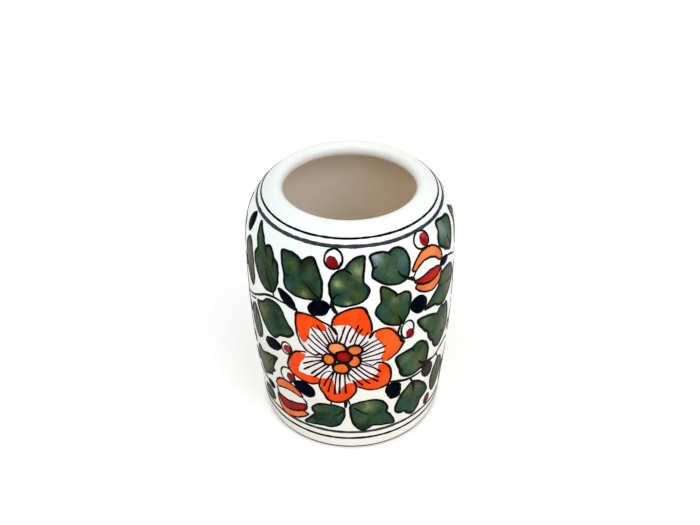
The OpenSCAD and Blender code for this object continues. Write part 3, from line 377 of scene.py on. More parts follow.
TULIP_PETALS = (
    ((18.6, 87.3), (19.8, 86.1), (21, 87.7), (23.1, 89.2, -.04), (25.8, 89, -.04), (28, 87.7),
     (29.9, 84.9), (31.6, 83.9, .03), (31.5, 86.8, .05), (30.4, 90.2, .06), (27.8, 93.1, .06),
     (25.1, 93.8, .05), (23, 93.3, .05), (20.4, 91.1, .04)),
    ((19.8, 78.5), (20, 77.4, .04), (21.5, 75.2, .04), (25.1, 72.4, .08), (28.1, 72, .08),
     (30.7, 74.6, .05), (31.3, 78), (31.1, 79.8), (29.2, 77.5, -.05), (26.2, 76.8, -.05), (22.4, 78.1),
     (20.5, 79.5)),
    ((-28, 17.1), (-26.7, 15.8, -.04), (-23.1, 17.9, -.03), (-20.4, 18.3, -.03), (-17.5, 16.9),
     (-16.3, 17.6, .04), (-18.2, 21.4, .05), (-21.5, 23.5, .06), (-24.9, 23, .06), (-27, 20.3, .05)),
    ((-27.8, 10.9, .03), (-28.3, 6, .05), (-27.1, 1, .1), (-24.8, -.9, .06), (-21.1, .3, .03),
     (-17.1, 3.7, .03), (-14.8, 7.1), (-16.7, 8.3), (-20, 5.7, -.03), (-24.2, 3.7, -.05), (-26.4, 5.7)))
TULIP_THROATS = (
    ((19.3, 81.7, .04), (20.2, 79.9), (22.4, 78.3, .05), (26.2, 77, .05), (29.2, 77.6, .05),
     (30.9, 80.3, .06), (29.1, 82.2, .04), (25.5, 83), (22.4, 81.8)),
    ((-27.8, 10.9, .03), (-26.4, 5.7, .05), (-24.2, 3.7, .04), (-20, 5.7), (-16.2, 9.1, .05),
     (-15, 12.2, .1), (-15.9, 13.3), (-18.9, 11.6), (-22.8, 10.3), (-25.7, 10.7)))

# Widths of the brush lines, mm, and how much and over what length the hand changes them
LEAF_LINE_W, VEIN_W, STEM_W, PETAL_LINE_W = 1.05, 1.0, 1.2, 1.05
RAY_W, ANTHER_LINE_W, TULIP_LINE_W, BUD_LINE_W = .84, 1.25, .95, .9
WIDTH_CHANGE, WIDTH_WAVE = .3, 3.1
# An open line's ends taper over the first share of its width, to the root of the second
END_TAPER, END_LEAST = .6, .06
RAY_MIDDLE_W = .95       # a ray's share of the width half way along
RAY_REACH, RAY_SEARCH = 3.0, .1     # how far in a ray may start, and the step of the search, mm
# How the hand wavers, for each kind of stroke: length and reach of the waves in mm, and the
# seed of the first stroke
LEAF_HAND, STEM_HAND, BERRY_HAND, TULIP_HAND = (3, .22, 10), (3, .15, 110), (2.6, .3, 140), (2, .15, 260)
PETAL_HAND, PETAL_LINE_HAND, RAY_HAND = (1.3, .4, 160), (3, .12, 170), (4, .12, 180)
ANTHER_HAND, EYE_HAND, HEART_HAND, LINE_HAND = (2, .25, 230), (2, .2, 250), (1.8, .3, 290), (2.4, .12, 0)
RING_WAVER, RING_WAVES = .1, 4      # how far a ring wavers, mm, and how often round the jar
# Seeds of the lines round things, and of the veins
LEAF_LINE_SEED, VEIN_SEED, ANTHER_LINE_SEED = 40, 70, 240
EYE_LINE_SEED, TULIP_LINE_SEED, BUD_LINE_SEED = 251, 265, 280


# Places on the jar
def on_glaze(turn, z, lift):
    """Points on the jar's outside, from turns in degrees, heights and lifts off the glaze."""
    turn, z, lift = np.broadcast_arrays(np.asarray(turn, float), z, lift)
    low = z < SHOULDER_Z
    centre_x = np.where(low, WALL_X, SHOULDER_X)
    centre_z = np.where(low, BELLY_Z, SHOULDER_CZ)
    radius = np.where(low, WALL_CURVE, SHOULDER_CURVE)
    run = np.sqrt(radius ** 2 - (z - centre_z) ** 2)
    out = centre_x + run * (1 + lift / radius)
    a = np.radians(turn)
    return np.stack([out * np.sin(a), -out * np.cos(a), z + (z - centre_z) * lift / radius], -1)


def off_glaze(turn, z):
    """Directions straight out of the glaze."""
    return on_glaze(turn, z, 1.0) - on_glaze(turn, z, 0.0)


def flat(u, v):
    """A place of the pattern in flat millimetres."""
    return np.array([u * FLAT_PER_U, FIELD_BOTTOM + v * FLAT_PER_V])


def turn_of(along):
    """The turn in degrees at a flat distance round the jar."""
    return np.degrees(np.asarray(along, float) / FLAT_R)


def moved(rows, by_u, by_v):
    """Rows of the pattern moved, with whatever else they hold kept."""
    return [(u + by_u, v + by_v, *rest) for u, v, *rest in rows]


def wavered(points, hand, k=0):
    """Flat points moved a little by smooth noise, as a hand moves a brush."""
    length, reach, seed = hand
    shifted = []
    for x, y in points:
        n = noise.noise_vector(Vector((x / length, y / length, seed + k)))
        shifted.append((x + n.x * reach, y + n.y * reach))
    return np.array(shifted)


def bowed(rows):
    """A closed flat outline through rows of (u, v) or (u, v, bow)."""
    points = []
    for (u0, v0, *bow), (u1, v1, *_) in zip(rows, rows[1:] + rows[:1]):
        start, end = flat(u0, v0), flat(u1, v1)
        run = end - start
        aside = np.array([run[1], -run[0]]) * (bow[0] if bow else 0)
        count = max(2, math.ceil(np.linalg.norm(run) / OUTLINE_STEP))
        for i in range(count):
            t = i / count
            points.append(start + run * t + aside * 4 * t * (1 - t))
    return np.array(points)


def softened(points, rounds):
    """A closed outline with its corners rounded a little."""
    for _ in range(rounds):
        points = (np.roll(points, 1, 0) + 2 * points + np.roll(points, -1, 0)) / 4
    return points


def disc(u, v, half_w, half_h, tilt=0):
    """A closed flat oval."""
    count = max(16, math.ceil(2 * math.pi * max(half_w, half_h) / OUTLINE_STEP))
    a = np.arange(count) * 2 * math.pi / count
    x, y = half_w * np.cos(a), half_h * np.sin(a)
    t = math.radians(tilt)
    return flat(u, v) + np.stack([x * math.cos(t) - y * math.sin(t),
                                  x * math.sin(t) + y * math.cos(t)], -1)


def kept_off(points, u, v, half_w, half_h):
    """Flat points, with those inside an oval pushed out to its edge."""
    away = (points - flat(u, v)) / (half_w, half_h)
    reach = np.linalg.norm(away, axis=1)[:, None]
    return flat(u, v) + away * np.maximum(1, 1 / reach) * (half_w, half_h)


def run_in(start, end, ovals):
    """The start of a flat line, moved back along it until it meets one of the ovals."""
    back = (start - end) / np.linalg.norm(start - end)
    for gone in np.arange(0, RAY_REACH, RAY_SEARCH):
        place = start + back * gone
        for u, v, half_w, half_h in ovals:
            if np.linalg.norm((place - flat(u, v)) / (half_w, half_h)) < 1:
                return place
    return start


def smooth_line(knots):
    """A smooth line through knots of (x, y, share) in flat mm: its points and their shares."""
    knots = np.array(knots)
    knots = np.vstack([2 * knots[0] - knots[1], knots, 2 * knots[-1] - knots[-2]])
    made = []
    for i in range(1, len(knots) - 2):
        a, b, c, d = knots[i - 1:i + 3]
        count = max(2, math.ceil(np.linalg.norm((c - b)[:2]) / LINE_STEP))
        for k in range(count):
            t = k / count
            made.append(.5 * (2 * b + (c - a) * t + (2 * a - 5 * b + 4 * c - d) * t ** 2
                              + (3 * b - a - 3 * c + d) * t ** 3))
    made = np.array(made + [knots[-2]])
    return made[:, :2], made[:, 2]


def curve_through(rows):
    """The same through rows of (u, v, share)."""
    return smooth_line([(*flat(u, v), share) for u, v, share in rows])


# Making of meshes
def in_scene(name, data):
    """A new object in the scene that holds a mesh, a camera or a lamp."""
    thing = bpy.data.objects.new(name, data)
    bpy.context.scene.collection.objects.link(thing)
    return thing


def mesh_of(name, verts, faces):
    """A mesh of points in millimetres."""
    mesh = bpy.data.meshes.new(name)
    mesh.from_pydata((np.asarray(verts, float) * MM).tolist(), [], faces)
    return mesh


def finished(name, mesh, materials, slot, extra=False):
    """A smooth object that rides on the jar. Unless it is an extra, it replaces its slot's node."""
    mesh.shade_smooth()
    piece = in_scene(name, mesh)
    for material in materials:
        mesh.materials.append(material)
    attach(piece, "root")
    if not extra:
        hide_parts(slot)
    return piece


class Piece:
    """The vertices, faces and washes of one piece, gathered from many strokes."""

    def __init__(self):
        self.verts, self.faces, self.washes, self.count = [], [], [], 0

    def add(self, verts, faces, washes=None):
        self.verts.append(np.asarray(verts, float))
        self.faces.extend(tuple(i + self.count for i in f) for f in faces)
        self.washes.append(np.zeros((len(verts), WASH_COUNT)) if washes is None else washes)
        self.count += len(verts)

    def make(self, name, material, slot, extra=False, signs=REPEAT_SIGNS):
        """The Blender object, with the strokes once for each sign."""
        verts, washes = np.vstack(self.verts), np.vstack(self.washes)
        all_verts = np.vstack([verts * (sign, sign, 1) for sign in signs])
        all_faces = [tuple(i + k * self.count for i in f)
                     for k in range(len(signs)) for f in self.faces]
        mesh = mesh_of(name, all_verts, all_faces)
        for layer_name, three in zip(WASH_LAYERS, np.split(washes, len(WASH_LAYERS), axis=1)):
            layer = mesh.attributes.new(layer_name, "FLOAT_VECTOR", "POINT")
            layer.data.foreach_set("vector", np.vstack([three] * len(signs)).ravel())
        return finished(name, mesh, [material], slot, extra)


def inside(points, outline):
    """Which flat points lie inside a closed outline."""
    x, y = points[:, 0][:, None], points[:, 1][:, None]
    x0, y0 = outline[:, 0], outline[:, 1]
    x1, y1 = np.roll(x0, -1), np.roll(y0, -1)
    crosses = (y0 > y) != (y1 > y)
    with np.errstate(divide="ignore", invalid="ignore"):
        left = x < (x1 - x0) * (y - y0) / (y1 - y0) + x0
    return (crosses & left).sum(1) % 2 == 1


def grid_inside(outline):
    """A grid of points inside an outline and clear of its edge."""
    low, high = outline.min(0), outline.max(0)
    rows = []
    for j, y in enumerate(np.arange(low[1], high[1], FILL_CELL * math.sqrt(3) / 2)):
        x = np.arange(low[0] + (j % 2) * FILL_CELL / 2, high[0], FILL_CELL)
        rows.append(np.stack([x, np.full_like(x, y)], -1))
    points = np.vstack(rows)
    points = points[inside(points, outline)]
    if not len(points):
        return points
    gaps = np.linalg.norm(points[:, None] - outline[None], axis=2).min(1)
    return points[gaps > FILL_CELL * EDGE_CLEAR]


def fill(piece, outline, washes=(), lift=FILL_LIFT):
    """A thin closed patch of enamel inside a flat outline."""
    flat_points = [Vector(p) for p in np.vstack([outline, grid_inside(outline)])]
    keep_inside, tolerance = 1, 1e-6
    verts, _, faces, *_ = delaunay_2d_cdt(flat_points, [], [list(range(len(outline)))],
                                          keep_inside, tolerance)
    points = np.array([tuple(v) for v in verts])
    faces = [tuple(f) for f in faces]
    edges = {(a, b) for f in faces for a, b in zip(f, f[1:] + f[:1])}
    border = [(a, b) for f in faces for a, b in zip(f, f[1:] + f[:1]) if (b, a) not in edges]
    rim = np.zeros(len(points), bool)
    rim[[i for e in border for i in e]] = True
    turns, n = turn_of(points[:, 0]), len(points)
    top = on_glaze(turns, points[:, 1], np.where(rim, min(FILL_EDGE_LIFT, lift), lift))
    under = on_glaze(turns, points[:, 1], SUNK)
    all_faces = faces + [tuple(i + n for i in reversed(f)) for f in faces]
    all_faces += [(a, a + n, b + n, b) for a, b in border]
    tint = np.zeros((n, WASH_COUNT))
    for u, v, radius, colour, strength in washes:
        gap = np.linalg.norm(points - flat(u, v), axis=1)
        tint[:, colour] += strength * np.exp(-(gap / radius) ** 2)
    piece.add(np.vstack([top, under]), all_faces, np.vstack([tint, tint]).clip(0, 1))


def line(piece, points, widths, seed, closed=False):
    """A brush line along flat points, round on top, with a hand's change of width."""
    points = np.asarray(points, float)
    n, k = len(points), len(LINE_SECTION)
    widths = np.broadcast_to(np.asarray(widths, float), n).copy()
    for i, (x, y) in enumerate(points):
        place = Vector((x / WIDTH_WAVE, y / WIDTH_WAVE, seed))
        widths[i] *= 1 + WIDTH_CHANGE * noise.noise(place)
    if not closed:
        gone = np.concatenate([[0], np.cumsum(np.linalg.norm(np.diff(points, axis=0), axis=1))])
        near = np.minimum(gone, gone[-1] - gone)
        widths *= np.sqrt(np.clip(near / (widths * END_TAPER), END_LEAST, 1))
    turns = turn_of(points[:, 0])
    middle = on_glaze(turns, points[:, 1], 0.0)
    out = off_glaze(turns, points[:, 1])
    if closed:
        along = np.roll(middle, -1, 0) - np.roll(middle, 1, 0)
    else:
        along = np.gradient(middle, axis=0)
    aside = np.cross(along, out)
    aside /= np.linalg.norm(aside, axis=1)[:, None]
    verts = np.stack([middle + aside * (a * widths[:, None] / 2) + out * h
                      for a, h in LINE_SECTION], 1).reshape(-1, 3)
    faces = []
    for i in range(n if closed else n - 1):
        j = (i + 1) % n
        for a in range(k):
            b = (a + 1) % k
            faces.append((i * k + a, j * k + a, j * k + b, i * k + b))
    if not closed:
        faces.append(tuple(range(k)))
        faces.append(tuple((n - 1) * k + a for a in reversed(range(k))))
    piece.add(verts, faces)


def outline_line(piece, outline, width, seed):
    """A brush line round an outline."""
    line(piece, wavered(outline, LINE_HAND, seed), width, seed, closed=True)


def brushed(piece, curves, width, hand):
    """Brush lines along curves, each a pair of points and shares of the width."""
    for k, (points, shares) in enumerate(curves):
        line(piece, wavered(points, hand, k), shares * width, hand[-1] + k)


def filled(piece, outlines, hand, washes=(), lift=FILL_LIFT):
    """Patches of enamel inside outlines, with the washes of each."""
    for k, outline in enumerate(outlines):
        fill(piece, wavered(outline, hand, k), dict(washes).get(k, ()), lift)


# Colours and materials. Colours are written as a screen shows them, 0 to 255.
def paint(r, g, b):
    """The linear colour of one as a screen shows it."""
    return tuple((c / 255 / 12.92) if c / 255 <= .04045 else ((c / 255 + .055) / 1.055) ** 2.4
                 for c in (r, g, b)) + (1.0,)


class Nodes:
    """A short way to write a material's nodes."""

    def __init__(self, name):
        self.material = bpy.data.materials.new(name)
        self.material.use_nodes = True
        self.tree = self.material.node_tree
        self.shader = self.tree.nodes["Principled BSDF"]
        self.place = self.new("TexCoord").outputs["Object"]

    def put(self, socket, value):
        """Sets a socket to a constant, or links it to another node's output."""
        if isinstance(value, (int, float, tuple)):
            socket.default_value = value
        else:
            self.tree.links.new(value, socket)

    def new(self, kind, **inputs):
        """A node with some of its inputs put."""
        node = self.tree.nodes.new("ShaderNode" + kind)
        for key, value in inputs.items():
            self.put(node.inputs[key.replace("_", " ")], value)
        return node

    def split(self, vector):
        """The three parts of a vector."""
        node = self.new("SeparateXYZ", Vector=vector)
        return [node.outputs[key] for key in "XYZ"]

    def noise(self, scale, detail, rough, warp=0.0, stretch=None):
        """Smooth noise of a scale per metre, which can be stretched along the three axes."""
        place = self.place
        if stretch:
            place = self.new("Mapping", Vector=place, Scale=stretch).outputs["Vector"]
        return self.new("TexNoise", Vector=place, Scale=scale, Detail=detail, Roughness=rough,
                        Distortion=warp).outputs["Fac"]

    def spread(self, value, low, high, to_low=0.0, to_high=1.0):
        """A share that goes smoothly from to_low to to_high as the value goes from low to high."""
        node = self.new("MapRange", Value=value, From_Min=low, From_Max=high, To_Min=to_low,
                        To_Max=to_high)
        node.interpolation_type = "SMOOTHSTEP"
        return node.outputs["Result"]

    def times(self, a, b):
        node = self.new("Math")
        node.operation = "MULTIPLY"
        for socket, value in zip(node.inputs, (a, b)):
            self.put(socket, value)
        return node.outputs[0]

    def mix(self, share, a, b):
        """A share of the way from colour a to colour b."""
        node = self.new("Mix")
        node.data_type = "RGBA"
        for key, kind, value in (("Factor", "VALUE", share), ("A", "RGBA", a), ("B", "RGBA", b)):
            socket = next(s for s in node.inputs if (s.name, s.type) == (key, kind))
            self.put(socket, paint(*value) if isinstance(value, tuple) else value)
        return next(s for s in node.outputs if s.type == "RGBA")

    def washes(self):
        """How strong each of the washes painted on the mesh is."""
        shares = []
        for layer_name in WASH_LAYERS:
            node = self.new("Attribute")
            node.attribute_name = layer_name
            shares += self.split(node.outputs["Vector"])
        return shares

    def bump(self, height, strength, distance):
        node = self.new("Bump", Strength=strength, Distance=distance, Height=height)
        self.put(self.shader.inputs["Normal"], node.outputs["Normal"])

    def done(self, colour, rough, specular):
        for key, value in (("Base Color", colour), ("Roughness", rough),
                           ("Specular IOR Level", specular)):
            self.put(self.shader.inputs[key], value)
        return self.material


def enamel(name, deep, full, thin, specular, light=None, shade=None):
    """Brushed enamel: it pools darker in places, runs thinner in others, and shows its strokes.
    Where the mesh carries washes, the light and the shade colour come in."""
    n = Nodes(name)
    pools = n.spread(n.noise(190, 3, .5, .6), .36, .66)
    colour = n.mix(pools, deep, full)
    strokes = n.spread(n.noise(420, 2, .5, .3, (1, 1, .28)), .5, .8)
    colour = n.mix(n.times(strokes, .55), colour, thin)
    if light:
        washes = n.washes()
        for wash, tint in ((LIGHT, light), (SHADE, shade)):
            colour = n.mix(n.times(washes[wash], .85), colour, tint)
    fine = n.noise(1500, 3, .6)
    colour = n.mix(n.spread(fine, .3, .75, 0, .14), colour, deep)
    n.bump(fine, .12, .00006)
    return n.done(colour, n.spread(pools, 0, 1, .2, .32), specular)


def leaf_enamel():
    """Green enamel in washes: dark green that runs into olive and teal, with pale grey-green and icy
    washes that are painted highlights.
    """
    n = Nodes("leaf_green_enamel")
    pools = n.spread(n.noise(150, 4, .5, .8), .34, .68)
    colour = n.mix(pools, (18, 44, 28), (43, 78, 51))
    cloud = n.spread(n.noise(260, 3, .55, .5), .42, .72)
    colour = n.mix(n.times(cloud, .4), colour, (66, 99, 64))
    breaks = n.spread(n.noise(330, 3, .6, .7), .3, .7, .45, 1.15)
    washes = n.washes()
    # The pale grey-green and icy tints paint highlights into the colour.
    for wash, tint, most in ((DEEP, (8, 24, 10), 1.0), (SAGE, (92, 120, 84), .8),
                             (TEAL, (46, 88, 84), .8), (OLIVE, (110, 112, 50), .8),
                             (UMBER, (114, 98, 70), .8), (PALE_HIGHLIGHT, (188, 210, 146), .8),
                             (ICE_HIGHLIGHT, (172, 190, 208), .8)):
        colour = n.mix(n.times(n.times(washes[wash], breaks), most), colour, tint)
    fine = n.noise(1400, 3, .6)
    colour = n.mix(n.spread(fine, .3, .75, 0, .16), colour, (26, 46, 36))
    n.bump(fine, .12, .00006)
    return n.done(colour, n.spread(pools, 0, 1, .22, .34), .03)


def white_glaze():
    """White glaze, creamier towards the foot, with pinholes, and painted shade on the left front: a cool
    tint high up and warm grey low down.
    """
    n = Nodes("white_glaze")
    x, y, z = n.split(n.place)
    clouds = n.noise(28, 3, .5)
    colour = n.mix(n.spread(clouds, .35, .65), (252, 254, 251), (248, 252, 248))
    # Painted shade on the left front, away from the key lamp: a cool tint on its upper part.
    shaded_flank = n.times(n.spread(x, -.036, .004, 1, 0), n.spread(y, -.01, .02, 1, 0))
    cool_shade_tint = n.times(shaded_flank, n.spread(z, .072, .096))
    colour = n.mix(n.times(cool_shade_tint, .85), colour, (244, 255, 252))
    low = n.spread(z, .04, .085, 1, 0)
    colour = n.mix(n.times(low, .6), colour, (250, 245, 230))
    # Painted shade: warm grey low on the left front.
    colour = n.mix(n.times(n.times(shaded_flank, low), .6), colour, (226, 226, 212))
    pits = n.spread(n.noise(900, 1, .4), .735, .8)
    colour = n.mix(n.times(pits, .35), colour, (186, 180, 166))
    n.bump(n.noise(240, 2, .5), .1, .0002)
    return n.done(colour, n.spread(clouds, .3, .7, .16, .24), .45)


def inner_glaze():
    """The hollow's glaze: a warm cream that partly paints the shade inside the hollow, with painted
    shadow that turns it browner towards one flank.
    """
    n = Nodes("inner_glaze_and_painted_shade")
    clouds = n.noise(40, 3, .55, .4)
    colour = n.mix(n.spread(clouds, .35, .65), (255, 248, 236), (250, 240, 225))
    # Painted shadow: browner towards the right of the hollow.
    painted_shadow_right = n.spread(n.split(n.place)[0], -.012, .034)
    colour = n.mix(n.times(painted_shadow_right, .8), colour, (238, 212, 176))
    specks = n.spread(n.noise(1100, 1, .4), .7, .8)
    colour = n.mix(n.times(specks, .4), colour, (190, 176, 156))
    n.bump(n.noise(200, 2, .5), .12, .0003)
    return n.done(colour, n.spread(clouds, .3, .7, .3, .42), .35)


def bare_clay(name, pale, dark, grit_colour):
    """Unglazed fired clay, as under the foot, and browned darker where the glaze ends, a band that is
    partly bare clay and partly painted contact shadow along the floor.
    """
    n = Nodes(name)
    clouds = n.noise(120, 4, .6)
    colour = n.mix(n.spread(clouds, .35, .65), pale, dark)
    grit = n.noise(2600, 2, .6)
    colour = n.mix(n.spread(grit, .55, .8, 0, .5), colour, grit_colour)
    n.bump(grit, .5, .0001)
    return n.done(colour, n.spread(clouds, .3, .7, .8, .95), .2)


GLAZE, INNER = white_glaze(), inner_glaze()
CLAY = bare_clay("bare_clay", (206, 184, 158), (184, 160, 134), (140, 116, 94))
# For the band where the glaze ends: bare clay, darkened as painted contact shadow along the floor.
CLAY_EDGE_AND_SHADOW = bare_clay("clay_edge_and_painted_shadow", (86, 60, 48), (62, 42, 34), (40, 28, 24))
LEAF = leaf_enamel()
BLACK = enamel("line_black_enamel", (4, 9, 8), (12, 18, 16), (34, 42, 40), .02)
GREY_BLACK = enamel("ring_grey_enamel", (38, 44, 48), (58, 64, 70), (94, 100, 106), .05)
PETAL_BLACK = enamel("petal_line_enamel", (14, 6, 5), (30, 13, 10), (60, 32, 22), .02)
NAVY = enamel("berry_navy_enamel", (0, 1, 7), (2, 6, 17), (16, 24, 40), .006,
              light=(72, 64, 52), shade=(0, 1, 7))
ORANGE = enamel("petal_orange_enamel", (250, 64, 0), (255, 76, 4), (255, 100, 28), .06,
                light=(254, 108, 34), shade=(222, 66, 16))
APRICOT = enamel("anther_orange_enamel", (234, 100, 30), (250, 124, 50), (255, 164, 100), .06,
                 light=(255, 170, 108), shade=(206, 100, 42))
TULIP = enamel("tulip_orange_enamel", (226, 96, 40), (246, 114, 56), (255, 150, 86), .06,
               light=(252, 148, 82), shade=(206, 108, 56))
THROAT = enamel("throat_red_enamel", (140, 2, 6), (192, 18, 14), (214, 44, 30), .04,
                light=(204, 34, 24), shade=(118, 0, 4))
EYE_RED = enamel("eye_red_enamel", (112, 0, 2), (140, 4, 4), (170, 22, 16), .04,
                 light=(206, 14, 10), shade=(80, 0, 0))
CRIMSON = enamel("bud_crimson_enamel", (112, 4, 16), (164, 16, 32), (212, 76, 92), .04)
BLUSH = enamel("flower_white_enamel", (242, 234, 232), (248, 242, 238), (238, 230, 230), .3)


# The jar
def arc(centre_x, centre_z, radius, start, end, count):
    """Points along an arc, by angles in degrees."""
    a = np.radians(np.linspace(start, end, count))
    return [(centre_x + radius * math.cos(t), centre_z + radius * math.sin(t)) for t in a]


def wall_arc(radius, from_z, to_z, count):
    """Points along the wall's arc, by heights."""
    z = np.linspace(from_z, to_z, count)
    return [(WALL_X + math.sqrt(radius ** 2 - (h - BELLY_Z) ** 2), h) for h in z]


def jar_section():
    """Half section of the jar from the middle underneath, up the outside and down the inside:
    rows of (distance from the axis, height, material)."""
    glaze, inner, clay, clay_edge_shadow = 0, 1, 2, 3
    rows = []

    def go(points, kind):
        rows.extend((x, z, kind) for x, z in points)

    outer_x = WALL_X + math.sqrt((WALL_CURVE - FOOT_ROUND) ** 2 - (FOOT_ROUND - BELLY_Z) ** 2)
    ring_x = WALL_X + math.sqrt(WALL_CURVE ** 2 - BELLY_Z ** 2) - FOOT_RING_W
    go([(ring_x * t, FOOT_RECESS) for t in (.35, .7, .9)], glaze)
    go(arc(ring_x - RECESS_ROUND, FOOT_RECESS - RECESS_ROUND, RECESS_ROUND, 90, 10, 5), glaze)
    go([(ring_x, FOOT_INNER_ROUND * 1.1)], clay)
    go(arc(ring_x + FOOT_INNER_ROUND, FOOT_INNER_ROUND, FOOT_INNER_ROUND, 180, 270, 6), clay)
    go([((ring_x + outer_x) / 2, 0)], clay)
    go(arc(outer_x, FOOT_ROUND, FOOT_ROUND, -90, -60, 4), clay)
    # Bare clay where the glaze ends, darkened as painted contact shadow along the floor.
    go(arc(outer_x, FOOT_ROUND, FOOT_ROUND, -54, -12, 6), clay_edge_shadow)
    go(wall_arc(WALL_CURVE, FOOT_ROUND, GLAZE_END_Z, 2), clay_edge_shadow)
    go(wall_arc(WALL_CURVE, GLAZE_END_Z, SHOULDER_Z, 56)[1:], glaze)
    go(arc(SHOULDER_X, SHOULDER_CZ, SHOULDER_CURVE, math.degrees(SHOULDER_TILT),
           math.degrees(LIP_TILT), 36)[1:], glaze)
    inner_curve = SHOULDER_CURVE - WALL_T
    apart = SHOULDER_CURVE - LIP_R
    turn = math.acos((LIP_R ** 2 + apart ** 2 - inner_curve ** 2) / (2 * LIP_R * apart))
    under_lip = LIP_TILT + math.pi + turn   # where the lip's round meets the hollow
    go(arc(LIP_X, LIP_Z, LIP_R, math.degrees(LIP_TILT), math.degrees(under_lip), 44)[1:], glaze)
    under_x, under_z, _ = rows[-1]
    start = math.degrees(math.atan2(under_z - SHOULDER_CZ, under_x - SHOULDER_X))
    go(arc(SHOULDER_X, SHOULDER_CZ, inner_curve, start, math.degrees(SHOULDER_TILT), 30)[1:],
       inner)
    corner_z = FLOOR_T + FLOOR_FILLET
    shoulder_inner_z = SHOULDER_CZ + inner_curve * math.sin(SHOULDER_TILT)
    inner_wall = WALL_CURVE - WALL_T
    go(wall_arc(inner_wall, shoulder_inner_z, corner_z, 40)[1:], inner)
    corner_x = WALL_X + math.sqrt((inner_wall - FLOOR_FILLET) ** 2 - (corner_z - BELLY_Z) ** 2)
    go(arc(corner_x, corner_z, FLOOR_FILLET, -8, -90, 12), inner)
    go([(corner_x * t, FLOOR_T) for t in (.7, .35)], inner)
    return rows


def jar():
    """The clay jar under its glaze, turned about its axis."""
    rows, around = jar_section(), JAR_POINTS
    a = np.arange(around) * 2 * math.pi / around
    verts = np.array([(x * np.sin(a), -x * np.cos(a), np.full(around, z))
                      for x, z, _ in rows]).transpose(0, 2, 1).reshape(-1, 3)
    verts = np.vstack([verts, [(0, 0, rows[0][1]), (0, 0, rows[-1][1])]])
    last = (len(rows) - 1) * around
    faces, kinds = [], []
    for i in range(len(rows) - 1):
        for k in range(around):
            j = (k + 1) % around
            faces.append((i * around + k, i * around + j, (i + 1) * around + j,
                          (i + 1) * around + k))
            kinds.append(rows[i + 1][2])
    for k in range(around):
        j = (k + 1) % around
        faces += [(j, k, len(verts) - 2), (last + k, last + j, len(verts) - 1)]
        kinds += [rows[0][2], rows[-1][2]]
    mesh = mesh_of("ceramic_jar", verts, faces)
    finished("ceramic_jar", mesh, [GLAZE, INNER, CLAY, CLAY_EDGE_AND_SHADOW], "jar_body")
    mesh.polygons.foreach_set("material_index", kinds)


# The painted pattern
def painted_rings():
    """Two lines under the lip and two above the foot, the wider of each pair in grey."""
    along = np.arange(RING_POINTS) / RING_POINTS * 2 * math.pi * FLAT_R
    for name, slot, z, width, material, extra in (
            ("rim_lines_paint", "rim_lines", RIM_LINE_Z, RIM_LINE_W, GREY_BLACK, False),
            ("rim_thin_line", "rim_lines", RIM_THIN_Z, RIM_THIN_W, BLACK, True),
            ("foot_lines_paint", "foot_lines", FOOT_LINE_Z, FOOT_LINE_W, GREY_BLACK, False),
            ("foot_low_line", "foot_lines", FOOT_LOW_Z, FOOT_LOW_W, BLACK, True)):
        places = [Vector((RING_WAVES * math.cos(x / FLAT_R), RING_WAVES * math.sin(x / FLAT_R), z))
                  for x in along]
        points = [(x, z + RING_WAVER * noise.noise(place)) for x, place in zip(along, places)]
        piece = Piece()
        line(piece, points, width, z, closed=True)
        piece.make(name, material, slot, extra, signs=(1,))


def painted_leaves():
    green, dark = Piece(), Piece()
    placed = [(i, 0, 0) for i in range(len(LEAVES))] + list(SIDE_LEAVES)
    for k, (i, by_u, by_v) in enumerate(placed):
        outline = wavered(softened(bowed(moved(LEAVES[i], by_u, by_v)), 4), LEAF_HAND, k)
        fill(green, outline, moved(WASHES.get(i, ()), by_u, by_v))
        outline_line(dark, outline, LEAF_LINE_W * LEAF_LINE_SHARES[i], LEAF_LINE_SEED + k)
        for j, (leaf, vein) in enumerate(VEINS):
            if leaf == i:
                points, shares = curve_through(moved(vein, by_u, by_v))
                line(dark, points, shares * VEIN_W, VEIN_SEED + j)
    green.make("leaf_colour", LEAF, "leaves")
    dark.make("leaf_lines", BLACK, "leaves", extra=True)


def painted_stems():
    stems, berries = Piece(), Piece()
    brushed(stems, [curve_through(rows) for rows in STEMS], STEM_W, STEM_HAND)
    outlines = [disc(*row) for row in BERRIES]
    outlines += [softened(bowed(rows), 2) for rows in POINTED_BERRIES]
    filled(berries, outlines, BERRY_HAND, BERRY_WASHES, BERRY_LIFT)
    stems.make("vine_stems_paint", BLACK, "vine_stems")
    berries.make("berries_paint", NAVY, "berries")


def ray_curve(root, middle, tip, share):
    """A ray from where it meets the eye or an anther out to its tip."""
    root, middle, tip = flat(*root), flat(*middle), flat(*tip)
    root = run_in(root, middle, (EYE,) + ANTHERS)
    return smooth_line([(*root, 1), (*middle, RAY_MIDDLE_W), (*tip, share)])


def painted_petals():
    white, orange, dark, rays = Piece(), Piece(), Piece(), Piece()
    fill(white, softened(bowed(FLOWER_WHITE), 3), lift=WHITE_LIFT)
    filled(orange, [softened(bowed(rows), 2) for rows in PETAL_COLOURS], PETAL_HAND, PETAL_WASHES)
    brushed(dark, [curve_through(rows) for rows in PETAL_LINES], PETAL_LINE_W, PETAL_LINE_HAND)
    brushed(rays, [ray_curve(*row) for row in RAYS], RAY_W, RAY_HAND)
    white.make("flower_white", BLUSH, "flower_petals", extra=True)
    orange.make("petal_colour", ORANGE, "flower_petals")
    dark.make("petal_lines", PETAL_BLACK, "flower_petals", extra=True)
    rays.make("flower_rays_paint", PETAL_BLACK, "flower_rays")


